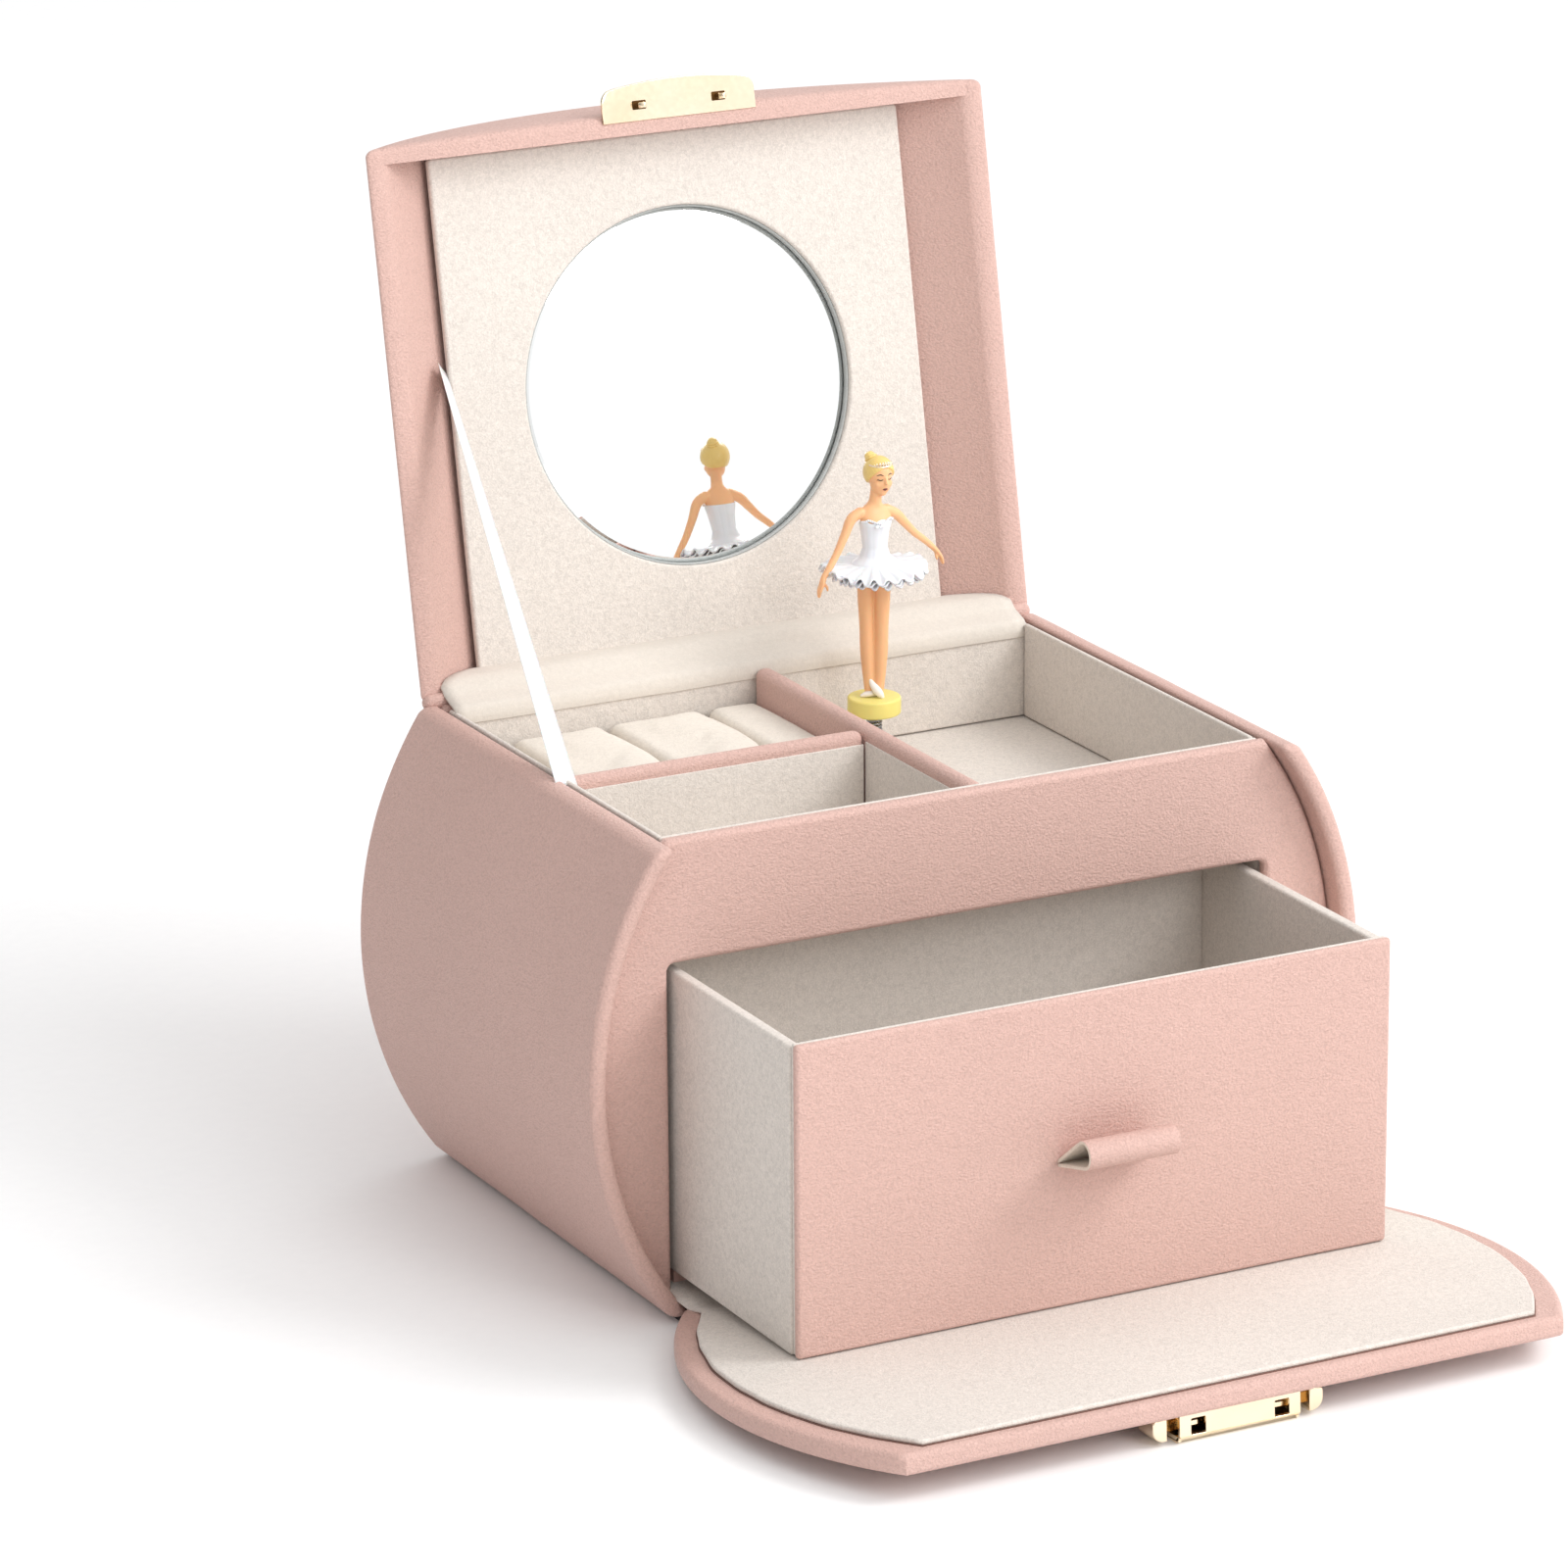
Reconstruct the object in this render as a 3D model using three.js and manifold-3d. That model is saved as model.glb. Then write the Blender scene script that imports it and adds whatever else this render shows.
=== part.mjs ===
// A ballerina jewellery box: a bowed leatherette case with a padded tray, a drawer behind a drop-down
// flap, a domed lid with a mirror, and a wind-up movement that turns a small dancer on a spring.
// Millimetres, +Z up, front towards -Y. The origin is the centre of the base's underside.

import * as THREE from 'three';
import { mergeVertices } from 'three/addons/utils/BufferGeometryUtils.js';
import Module from 'manifold-3d';

const wasm = await Module();
wasm.setup();

// ---------------------------------------------------------------- driving dimensions

const GAP = 0.3; // clearance between neighbouring pieces
const CASE_HEIGHT = 105;
const CASE_BOTTOM = 1.3; // the boards stand on a thin pad
const HALF_DEPTH = 58.3; // case front and back rims
const HALF_TOP = 77; // half width at the top
const HALF_BOTTOM = 74;
const HALF_BULGE = 93; // half width where the sides bow out most
const BULGE_HEIGHT = 54;
const SIDE_BOARD = 3.8;
const BACK_BOARD = 4;
const FRONT_BOARD = 3.5;
const FRONT_RECESS = 5.4; // the side boards stand this far ahead of the front board
const BASE_TOP = 5;

const OPENING_HALF = 72.2;
const OPENING_TOP = 77.9;
const OPENING_RADIUS = 1.8;

const TRAY_FLOOR_BOTTOM = 80.4;
const TRAY_FLOOR_TOP = 82.4;
const LINER = 1.2;
const LINER_TOP = 104.6;
const TRAY_HALF = 70.8; // inner half width of the tray
const TRAY_REAR = 51.6; // face of the rear liner
const TRAY_FRONT = -47.9; // face of the front liner

const DIVIDER_LEFT = 1.6; // long divider, left and right faces
const DIVIDER_RIGHT = 6;
const DIVIDER_TOP = 104.2;
const CROSS_HALF = 2; // cross divider, half thickness
const CROSS_TOP = 103.7;
const ROLL_TOP = 98.5;
const ROLL_SPANS = [[-70.5, -60.5], [-59.5, -37], [-36, -12.5], [-11.5, 1.2]];

const LID_OPEN_LEAN = 10.9; // degrees past upright when the ribbon is taut
const LID_LENGTH = 121.2; // from the hinge line to the front wall's face
const LID_RISE = 33;
const LID_BOARD = 4;
const LID_WALL = 3.4;
const PANEL_DEPTH = 8; // from the rim plane to the inner panel
const PANEL_HALF = 58.3;
const PANEL_THICK = 2;
const MIRROR_FROM_HINGE = 60.6;
const MIRROR_WINDOW = 40.3; // radius
const MIRROR_RADIUS = 42.5;
const LID_HINGE = [0, HALF_DEPTH, CASE_HEIGHT + 0.4];

const DRAWER_HALF = 70.6;
const DRAWER_BOTTOM = 8.6;
const DRAWER_TOP = 76.6;
const DRAWER_FRONT = -106.6; // front face, pulled out
const DRAWER_DEPTH = 75.5;
const DRAWER_WALL = 2.8;
const TAB_HEIGHT = 40.5; // seam of the pull loop
const TAB_CENTRE = 1;
const TAB_WIDTH = 21.6;

const FLAP_AXIS = [0, -62.2, 2.6];
const FLAP_TILT = 3.55; // degrees that the clasp lifts the flap's free edge
const FLAP_BOARD = 4.2;
const FLAP_LINING = 0.8;
const FLAP_FREE_EDGE = 102.3; // from the axis
const FLAP_HINGED_EDGE = -2.2;

const CLASP_HALF = 14.2;
const CLASP_DROP = 6.2;
const CLASP_REAR = 93.5; // from the flap's axis
const CLASP_FRONT = 101.9;
const CLASP_HOLE_X = 9.8;
const CLASP_HOLE = 3.4;
const BUTTON_TRAVEL = 2.2;

const SPINDLE = [24, 36]; // the dancer's axis, x and y
const SPRING_BOTTOM = 88.9;
const FIGURE_BOTTOM = 94.5;
const FIGURE_TURN = -2; // degrees about Z from facing straight out over the drawer

const KEY_HEIGHT = 36; // the barrel's axis runs along Y at this height
const CROWN_PITCH_RADIUS = 11;
const CROWN_TEETH = 24;
const PINION_TEETH = 8;
const PINION_PITCH_RADIUS = CROWN_PITCH_RADIUS * PINION_TEETH / CROWN_TEETH;
const CROWN_PLANE = SPINDLE[1] + PINION_PITCH_RADIUS; // pitch plane of the crown teeth
const CYLINDER_RADIUS = 6.2;
const CYLINDER_LEFT = -12;
const CYLINDER_RIGHT = 9.2;
const GEAR_TEETH = 24;
const GEAR_PITCH_RADIUS = 7.8;
const FLY_PITCH_RADIUS = GEAR_PITCH_RADIUS * PINION_TEETH / GEAR_TEETH;
const GEAR_LEFT = -19.2;
const GEAR_RIGHT = -17;
const AXLE = 1.1; // radius of the movement's axles

// ---------------------------------------------------------------- materials

function finish(color, roughness, metalness = 0) {
  return new THREE.MeshStandardMaterial({ color, roughness, metalness });
}

const LEATHER = finish(0xe3bcb0, 0.55);
const VELVET = finish(0xe9e2d8, 0.95);
const IVORY = finish(0xf1e8d8, 0.95);
const BOARD = finish(0xc9b08c, 0.8);
const GOLD = finish(0xe6c98f, 0.2, 1);
const BRASS = finish(0xc9a050, 0.35, 1);
const STEEL = finish(0xb8bcc0, 0.35, 1);
const SATIN = finish(0xf6f5f2, 0.4);
const MIRROR = finish(0xe8ecee, 0.05, 1);
const FIGURE = finish(0xf0b98a, 0.45);
const YELLOW = finish(0xe8dc6e, 0.45);
const FELT = finish(0x1d1b1a, 0.95);

// ---------------------------------------------------------------- shape helpers

function shapeOf(points, holes = []) {
  const shape = new THREE.Shape(points.map(([u, v]) => new THREE.Vector2(u, v)));
  for (const hole of holes) {
    shape.holes.push(new THREE.Path(hole.map(([u, v]) => new THREE.Vector2(u, v))));
  }
  return shape;
}

function extrude(points, depth, holes) {
  const settings = { depth, bevelEnabled: false, curveSegments: 8 };
  return new THREE.ExtrudeGeometry(shapeOf(points, holes), settings);
}

// An outline in X and Y, between two heights.
function flatPlate(points, zLow, zHigh, holes) {
  return extrude(points, zHigh - zLow, holes).translate(0, 0, zLow);
}

// An outline in X and Z, between two depths.
function facePlate(points, yLow, yHigh, holes) {
  return extrude(points, yHigh - yLow, holes).rotateX(Math.PI / 2).translate(0, yHigh, 0);
}

// An outline in Y and Z, between two widths.
function sidePlate(points, xLow, xHigh, holes) {
  const turn = new THREE.Matrix4().makeBasis(
    new THREE.Vector3(0, 1, 0),
    new THREE.Vector3(0, 0, 1),
    new THREE.Vector3(1, 0, 0),
  );
  return extrude(points, xHigh - xLow, holes).applyMatrix4(turn).translate(xLow, 0, 0);
}

function block(xLow, xHigh, yLow, yHigh, zLow, zHigh) {
  const box = new THREE.BoxGeometry(xHigh - xLow, yHigh - yLow, zHigh - zLow);
  return box.translate((xLow + xHigh) / 2, (yLow + yHigh) / 2, (zLow + zHigh) / 2);
}

function circle(u, v, radius, steps = 20) {
  const points = [];
  for (let i = 0; i < steps; i += 1) {
    const angle = 2 * Math.PI * i / steps;
    points.push([u + radius * Math.cos(angle), v + radius * Math.sin(angle)]);
  }
  return points;
}

// Part of a circle, from one angle to another in degrees.
function arc(u, v, radius, from, to, steps) {
  const points = [];
  for (let i = 0; i <= steps; i += 1) {
    const angle = THREE.MathUtils.degToRad(from + (to - from) * i / steps);
    points.push([u + radius * Math.cos(angle), v + radius * Math.sin(angle)]);
  }
  return points;
}

function rectangle(uLow, uHigh, vLow, vHigh) {
  return [[uLow, vLow], [uHigh, vLow], [uHigh, vHigh], [uLow, vHigh]];
}

function inOrder(a, b) {
  return a < b ? [a, b] : [b, a];
}

// A rod along Z, X or Y.
function rod(radius, low, high, steps = 16) {
  const geometry = new THREE.CylinderGeometry(radius, radius, high - low, steps);
  return geometry.rotateX(Math.PI / 2).translate(0, 0, (low + high) / 2);
}

function rodAlongX(radius, low, high, steps) {
  return rod(radius, low, high, steps).rotateY(Math.PI / 2);
}

function rodAlongY(radius, low, high, steps) {
  return rod(radius, -high, -low, steps).rotateX(Math.PI / 2);
}

// ---------------------------------------------------------------- joining and cutting

function solid(geometry) {
  const bare = geometry.clone();
  bare.deleteAttribute('normal');
  bare.deleteAttribute('uv');
  const merged = mergeVertices(bare, 1e-4);
  const vertProperties = new Float32Array(merged.attributes.position.array);
  const triVerts = new Uint32Array(merged.index.array);
  return new wasm.Manifold(new wasm.Mesh({ numProp: 3, vertProperties, triVerts }));
}

function geometryOf(body) {
  const mesh = body.getMesh();
  const geometry = new THREE.BufferGeometry();
  geometry.setAttribute('position', new THREE.BufferAttribute(new Float32Array(mesh.vertProperties), 3));
  geometry.setIndex(new THREE.BufferAttribute(new Uint32Array(mesh.triVerts), 1));
  return geometry;
}

function join(geometries) {
  return geometryOf(geometries.map(solid).reduce((whole, next) => whole.add(next)));
}

function cut(geometry, tools) {
  return geometryOf(tools.map(solid).reduce((rest, tool) => rest.subtract(tool), solid(geometry)));
}

function piece(name, geometry, material) {
  const mesh = new THREE.Mesh(geometry, material);
  mesh.name = name;
  return mesh;
}

// ---------------------------------------------------------------- the case's bowed outline

// The circle through the side's bottom, its widest point and its top.
function circleThrough([x1, z1], [x2, z2], [x3, z3]) {
  const d = 2 * (x1 * (z2 - z3) + x2 * (z3 - z1) + x3 * (z1 - z2));
  const s1 = x1 * x1 + z1 * z1;
  const s2 = x2 * x2 + z2 * z2;
  const s3 = x3 * x3 + z3 * z3;
  const x = (s1 * (z2 - z3) + s2 * (z3 - z1) + s3 * (z1 - z2)) / d;
  const z = (s1 * (x3 - x2) + s2 * (x1 - x3) + s3 * (x2 - x1)) / d;
  return { x, z, radius: Math.hypot(x1 - x, z1 - z) };
}

const BOW = circleThrough([HALF_BOTTOM, 0], [HALF_BULGE, BULGE_HEIGHT], [HALF_TOP, CASE_HEIGHT]);

// Half width of the case at a height, a given distance inside its outer face.
function bow(z, inset = 0) {
  const radius = BOW.radius - inset;
  return BOW.x + Math.sqrt(radius * radius - (z - BOW.z) ** 2);
}

function bowSide(zLow, zHigh, inset, steps = 14) {
  const points = [];
  for (let i = 0; i <= steps; i += 1) {
    const z = zLow + (zHigh - zLow) * i / steps;
    points.push([bow(z, inset), z]);
  }
  return points;
}

// A closed outline as wide as the case, inset from its outer face.
function bowOutline(zLow, zHigh, inset) {
  const right = bowSide(zLow, zHigh, inset);
  const left = right.map(([x, z]) => [-x, z]).reverse();
  return [...right, ...left];
}

// ---------------------------------------------------------------- case

function sideBoard(name, side) {
  const outer = bowSide(CASE_BOTTOM, CASE_HEIGHT, 0);
  const inner = bowSide(CASE_BOTTOM, CASE_HEIGHT, SIDE_BOARD).reverse();
  const outline = [...outer, ...inner].map(([x, z]) => [side * x, z]);
  return piece(name, facePlate(outline, -HALF_DEPTH, HALF_DEPTH), LEATHER);
}

const FRONT_FACE = -HALF_DEPTH + FRONT_RECESS;
const FRONT_BACK = FRONT_FACE + FRONT_BOARD;
const BACK_FACE = HALF_DEPTH - BACK_BOARD;

function frontBoard() {
  const inset = SIDE_BOARD + GAP;
  const right = bowSide(BASE_TOP + GAP, CASE_HEIGHT, inset);
  const left = right.map(([x, z]) => [-x, z]).reverse();
  const cornerX = OPENING_HALF - OPENING_RADIUS;
  const cornerZ = OPENING_TOP - OPENING_RADIUS;
  const opening = [
    [-OPENING_HALF, BASE_TOP + GAP],
    ...arc(-cornerX, cornerZ, OPENING_RADIUS, 180, 90, 5),
    ...arc(cornerX, cornerZ, OPENING_RADIUS, 90, 0, 5),
    [OPENING_HALF, BASE_TOP + GAP],
  ];
  return piece('front_board', facePlate([...right, ...left, ...opening], FRONT_FACE, FRONT_BACK), LEATHER);
}

function backBoard() {
  const outline = bowOutline(CASE_BOTTOM, CASE_HEIGHT, SIDE_BOARD + GAP);
  const keyHole = circle(SPINDLE[0], KEY_HEIGHT, 4.5);
  return piece('back_board', facePlate(outline, BACK_FACE, HALF_DEPTH, [keyHole]), LEATHER);
}

function bayPieces() {
  const bayRear = 25.2;
  const wallIn = OPENING_HALF + GAP;
  const pieces = [];
  for (const [side, label] of [[-1, 'left'], [1, 'right']]) {
    const wall = rectangle(...inOrder(side * wallIn, side * (wallIn + 1)), FRONT_BACK + GAP, bayRear);
    pieces.push(piece(`bay_wall_${label}`, flatPlate(wall, 8, TRAY_FLOOR_BOTTOM - GAP), VELVET));
    const runner = rectangle(...inOrder(side * 63, side * 70), FRONT_BACK + GAP, bayRear);
    const runnerTop = DRAWER_BOTTOM - GAP;
    pieces.push(piece(`drawer_runner_${label}`, flatPlate(runner, BASE_TOP + GAP, runnerTop), BOARD));
  }
  const partition = rectangle(-OPENING_HALF, OPENING_HALF, BASE_TOP + GAP, TRAY_FLOOR_BOTTOM - GAP);
  pieces.push(piece('bay_partition', facePlate(partition, bayRear + GAP, bayRear + 1.8), BOARD));
  return pieces;
}

function trayPieces() {
  const floor = rectangle(-79, 79, FRONT_BACK + GAP, BACK_FACE - GAP);
  const hole = circle(...SPINDLE, 4.5);
  const low = TRAY_FLOOR_TOP + GAP;
  const sideEnds = [TRAY_FRONT + GAP, TRAY_REAR - GAP];
  const linerOut = TRAY_HALF + LINER;
  const frontEnds = [FRONT_BACK + GAP, TRAY_FRONT];
  const rearEnds = [TRAY_REAR, BACK_FACE - GAP];
  return [
    piece('tray_floor', flatPlate(floor, TRAY_FLOOR_BOTTOM, TRAY_FLOOR_TOP, [hole]), VELVET),
    piece('tray_liner_left', block(-linerOut, -TRAY_HALF, ...sideEnds, low, LINER_TOP), VELVET),
    piece('tray_liner_right', block(TRAY_HALF, linerOut, ...sideEnds, low, LINER_TOP), VELVET),
    piece('tray_liner_front', block(-linerOut, linerOut, ...frontEnds, low, LINER_TOP), VELVET),
    piece('tray_liner_rear', block(-linerOut, linerOut, ...rearEnds, low, LINER_TOP), VELVET),
  ];
}

// A wall with a half-round top, as an outline across it.
function roundedWall(uLow, uHigh, vLow, vHigh) {
  const radius = (uHigh - uLow) / 2;
  const top = arc(uLow + radius, vHigh - radius, radius, 0, 180, 8);
  return [[uLow, vLow], [uHigh, vLow], ...top];
}

function dividers() {
  const low = TRAY_FLOOR_TOP + GAP;
  const long = roundedWall(DIVIDER_LEFT, DIVIDER_RIGHT, low, DIVIDER_TOP);
  const cross = roundedWall(-CROSS_HALF, CROSS_HALF, low, CROSS_TOP);
  return [
    piece('long_divider', facePlate(long, TRAY_FRONT + GAP, TRAY_REAR - GAP), LEATHER),
    piece('cross_divider', sidePlate(cross, -TRAY_HALF + GAP, DIVIDER_LEFT - GAP), LEATHER),
  ];
}

function ringRolls() {
  const corner = 3;
  return ROLL_SPANS.map(([left, right], index) => {
    const outline = [
      [left, TRAY_FLOOR_TOP + GAP],
      [right, TRAY_FLOOR_TOP + GAP],
      ...arc(right - corner, ROLL_TOP - corner, corner, 0, 90, 4),
      ...arc(left + corner, ROLL_TOP - corner, corner, 90, 180, 4),
    ];
    const roll = facePlate(outline, CROSS_HALF + GAP, TRAY_REAR - GAP);
    return piece(`ring_roll_${index + 1}`, roll, IVORY);
  });
}

// A strip of cloth of even thickness that follows a line across the box.
function clothStrip(line, thickness, halfWidth) {
  const upper = line.map(([y, z]) => [y, z + thickness]).reverse();
  return sidePlate([...line, ...upper], -halfWidth, halfWidth);
}

function hingeCloths() {
  const lidLine = [[TRAY_REAR + 0.2, 104.9], [57.2, 105.5], [57.8, 109.3], [65.6, 107.9]];
  const flapLine = [[-48, 5.3], [-58.4, 5.5], [-64.5, 5.9]];
  return [
    piece('lid_hinge_cloth', clothStrip(lidLine, 0.5, 60), VELVET),
    piece('flap_hinge_cloth', clothStrip(flapLine, 0.5, 62), VELVET),
  ];
}

function casePieces() {
  return [
    piece('base_pad', block(-72.5, 72.5, -57.5, 57.5, 0, CASE_BOTTOM - GAP), FELT),
    piece('base_board', block(-69.5, 69.5, -58, BACK_FACE - GAP, CASE_BOTTOM, BASE_TOP), LEATHER),
    sideBoard('left_side_board', -1),
    sideBoard('right_side_board', 1),
    frontBoard(),
    backBoard(),
    ...bayPieces(),
    ...trayPieces(),
    ...dividers(),
    ...ringRolls(),
    ...hingeCloths(),
  ];
}

// ---------------------------------------------------------------- lid, modelled shut about its hinge line

// Height of an arch over a half span, above the rim plane.
function archRise(x, halfSpan, rise) {
  const radius = (halfSpan * halfSpan + rise * rise) / (2 * rise);
  return Math.sqrt(radius * radius - x * x) - (radius - rise);
}

function archLine(halfSpan, rise, steps) {
  const points = [];
  for (let i = 0; i <= steps; i += 1) {
    const x = halfSpan * (1 - 2 * i / steps);
    points.push([x, archRise(x, halfSpan, rise)]);
  }
  return points;
}

const LID_INNER_HALF = HALF_TOP - 5;
const LID_INNER_RISE = LID_RISE - LID_BOARD;

function lidRoof() {
  const outer = archLine(HALF_TOP, LID_RISE, 24);
  const inner = archLine(LID_INNER_HALF, LID_INNER_RISE, 24).reverse();
  return piece('lid_roof', facePlate([...outer, ...inner], -LID_LENGTH, 0), LEATHER);
}

function lidWall(name, yLow, yHigh, notch) {
  const top = archLine(LID_INNER_HALF - 1, LID_INNER_RISE - 0.7, 24);
  return piece(name, facePlate([...top, ...notch], yLow, yHigh), LEATHER);
}

const PLATE_HALF = 18.9;
const PLATE_THICK = 0.8;
const HOOK_FROM_HINGE = 124.3;

// The plate lies in the front wall's rim, and its two hooks drop into the clasp.
function catchPlate() {
  const inner = -LID_LENGTH + 1.1;
  const outer = -LID_LENGTH - 6.4;
  const edge = [];
  const bend = 3.2;
  for (let i = 0; i <= 10; i += 1) {
    const t = 2 * i / 10 - 1;
    edge.push([t * (PLATE_HALF - bend), outer + 1.2 * t * t]);
  }
  const outline = [
    [PLATE_HALF, inner],
    [-PLATE_HALF, inner],
    [-PLATE_HALF, outer + 1.2 + bend],
    ...edge,
    [PLATE_HALF, outer + 1.2 + bend],
  ];
  const hooks = [-CLASP_HOLE_X, CLASP_HOLE_X].map((x) => {
    const lean = Math.sign(x);
    const profile = [[-0.8, 0.1], [-0.8, -3.6], [0.3, -4.2], [1.2, -3.2], [0.2, -2.6], [0.2, 0.1]];
    const hook = profile.map(([u, v]) => [x + lean * u, v]);
    return facePlate(hook, -HOOK_FROM_HINGE - 0.9, -HOOK_FROM_HINGE + 0.9);
  });
  return piece('lid_catch_plate', join([flatPlate(outline, 0, PLATE_THICK), ...hooks]), GOLD);
}

function lidPanel() {
  const front = -LID_LENGTH + LID_WALL + GAP;
  const rear = -LID_WALL - GAP;
  const window = circle(0, -MIRROR_FROM_HINGE, MIRROR_WINDOW, 48);
  const outline = rectangle(-PANEL_HALF, PANEL_HALF, front, rear);
  const panel = flatPlate(outline, PANEL_DEPTH, PANEL_DEPTH + PANEL_THICK, [window]);
  return piece('lid_inner_panel', panel, VELVET);
}

function lidMirror() {
  const low = PANEL_DEPTH + PANEL_THICK + GAP;
  const disc = circle(0, -MIRROR_FROM_HINGE, MIRROR_RADIUS, 48);
  return piece('lid_mirror', flatPlate(disc, low, low + 1.6), MIRROR);
}

function lid() {
  const group = new THREE.Group();
  const notchTop = PLATE_THICK + GAP;
  const notchHalf = PLATE_HALF + GAP;
  const notch = [[-notchHalf, 0], [-notchHalf, notchTop], [notchHalf, notchTop], [notchHalf, 0]];
  group.add(
    lidRoof(),
    lidWall('lid_front_wall', -LID_LENGTH, -LID_LENGTH + LID_WALL, notch),
    lidWall('lid_rear_wall', -LID_WALL, 0, []),
    lidPanel(),
    lidMirror(),
    catchPlate(),
  );
  group.position.set(...LID_HINGE);
  group.rotation.x = -THREE.MathUtils.degToRad(90 + LID_OPEN_LEAN);
  return group;
}

// The ribbon runs from the left tray liner up to the lid's left flank.
function lidRibbon() {
  const start = new THREE.Vector3(-72.4, -4.5, CASE_HEIGHT + 2.4);
  const end = new THREE.Vector3(-59.9, 76, 171);
  const along = end.clone().sub(start);
  const strip = block(-0.2, 0.2, -2.5, 2.5, 0, along.length());
  const up = along.normalize();
  const side = new THREE.Vector3(1, 0, 0).addScaledVector(up, -up.x).normalize();
  const width = new THREE.Vector3().crossVectors(up, side);
  const turn = new THREE.Matrix4().makeBasis(side, width, up).setPosition(start);
  return piece('lid_ribbon', strip.applyMatrix4(turn), SATIN);
}

// ---------------------------------------------------------------- drawer

// The loop's teardrop outline in Y and Z, from its seam on the drawer's face.
function teardrop(reach, radius, rise) {
  const centreY = -(reach - radius);
  return [[0, 0], ...arc(centreY, rise, radius, 70, 290, 10)];
}

function pullLoop() {
  const outer = teardrop(13.2, 2.9, 5.2);
  const inner = teardrop(13.2 - 0.7, 2.2, 5.2).map(([y, z]) => (y === 0 ? [-3.2, 1.2] : [y, z]));
  const left = TAB_CENTRE - TAB_WIDTH / 2;
  const loop = sidePlate(outer, left, left + TAB_WIDTH, [inner]);
  return piece('pull_loop', loop.translate(0, DRAWER_FRONT - GAP, TAB_HEIGHT), LEATHER);
}

function drawer() {
  const rear = DRAWER_FRONT + DRAWER_DEPTH;
  const front = DRAWER_FRONT + DRAWER_WALL;
  const inside = DRAWER_HALF - DRAWER_WALL;
  const floorTop = DRAWER_BOTTOM + 2.2;
  const walls = [
    [-DRAWER_HALF, front + GAP],
    [-inside, front + GAP],
    [-inside, rear - DRAWER_WALL],
    [inside, rear - DRAWER_WALL],
    [inside, front + GAP],
    [DRAWER_HALF, front + GAP],
    [DRAWER_HALF, rear],
    [-DRAWER_HALF, rear],
  ];
  const face = block(-DRAWER_HALF, DRAWER_HALF, DRAWER_FRONT, front, DRAWER_BOTTOM, DRAWER_TOP);
  const bottom = block(-DRAWER_HALF, DRAWER_HALF, front + GAP, rear, DRAWER_BOTTOM, floorTop);
  return [
    piece('drawer_front', face, LEATHER),
    piece('drawer_walls', flatPlate(walls, floorTop + GAP, DRAWER_TOP - 0.8), VELVET),
    piece('drawer_bottom', bottom, VELVET),
    pullLoop(),
  ];
}

// ---------------------------------------------------------------- flap, modelled flat about its hinge axis

// The flap's outline in X and Y: it covers the case's front, so it is as wide as the case at each height.
function flapOutline(fromAxis, toAxis, inset) {
  return bowOutline(fromAxis + FLAP_AXIS[2], toAxis + FLAP_AXIS[2], inset)
    .map(([x, z]) => [x, FLAP_AXIS[2] - z]);
}

function claspHousing() {
  const low = -FLAP_BOARD / 2 - CLASP_DROP;
  const high = -FLAP_BOARD / 2 - GAP;
  const chamfer = 1.4;
  const profile = [
    [-CLASP_REAR, low],
    [-CLASP_REAR, high],
    [-CLASP_FRONT, high],
    [-CLASP_FRONT, low + chamfer],
    [-CLASP_FRONT + chamfer, low],
  ];
  const body = sidePlate(profile, -CLASP_HALF, CLASP_HALF);
  const middle = (low + high) / 2;
  const half = CLASP_HOLE / 2;
  const channel = block(-CLASP_HALF - 1, CLASP_HALF + 1, -99.2, -95.6, middle - 1.9, middle + 1.7);
  const holes = [-CLASP_HOLE_X, CLASP_HOLE_X].map((x) => (
    block(x - half, x + half, -CLASP_FRONT - 1, -97, middle - half, middle + half)
  ));
  return piece('clasp_housing', cut(body, [channel, ...holes]), GOLD);
}

function claspButton(name, side) {
  const middle = -FLAP_BOARD / 2 - (CLASP_DROP + GAP) / 2;
  const inner = CLASP_HALF + BUTTON_TRAVEL + GAP;
  const outer = inner + 3.4;
  const cap = [
    [side * inner, -100.6],
    [side * (outer - 1.7), -100.9],
    [side * outer, -99.2],
    [side * outer, -94.6],
    [side * inner, -94.6],
  ];
  const xs = [side * 3.6, side * (inner + 0.5)].sort((a, b) => a - b);
  const tongue = block(...xs, -98.8, -96.2, middle - 1.3, middle + 1.3);
  const grip = flatPlate(cap, middle - 2.6, middle + 2.6);
  return piece(name, join([grip, tongue]), GOLD);
}

function claspSpring() {
  const middle = -FLAP_BOARD / 2 - (CLASP_DROP + GAP) / 2;
  const half = 3.6 - GAP;
  const spring = coil(0.9, 0.22, -half, half, 7).rotateY(Math.PI / 2);
  return piece('clasp_spring', spring.translate(0, -97.5, middle), STEEL);
}

function flap() {
  const group = new THREE.Group();
  const board = flapOutline(FLAP_HINGED_EDGE, FLAP_FREE_EDGE, 0);
  const lining = flapOutline(5.5, FLAP_FREE_EDGE - 3, 8.5);
  const top = FLAP_BOARD / 2;
  group.add(
    piece('flap_board', flatPlate(board, -top, top - GAP), LEATHER),
    piece('flap_lining', flatPlate(lining, top, top + FLAP_LINING), VELVET),
    claspHousing(),
    claspButton('clasp_button_left', -1),
    claspButton('clasp_button_right', 1),
    claspSpring(),
  );
  group.position.set(...FLAP_AXIS);
  group.rotation.x = -THREE.MathUtils.degToRad(FLAP_TILT);
  return group;
}

// ---------------------------------------------------------------- figure on its spring

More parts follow.
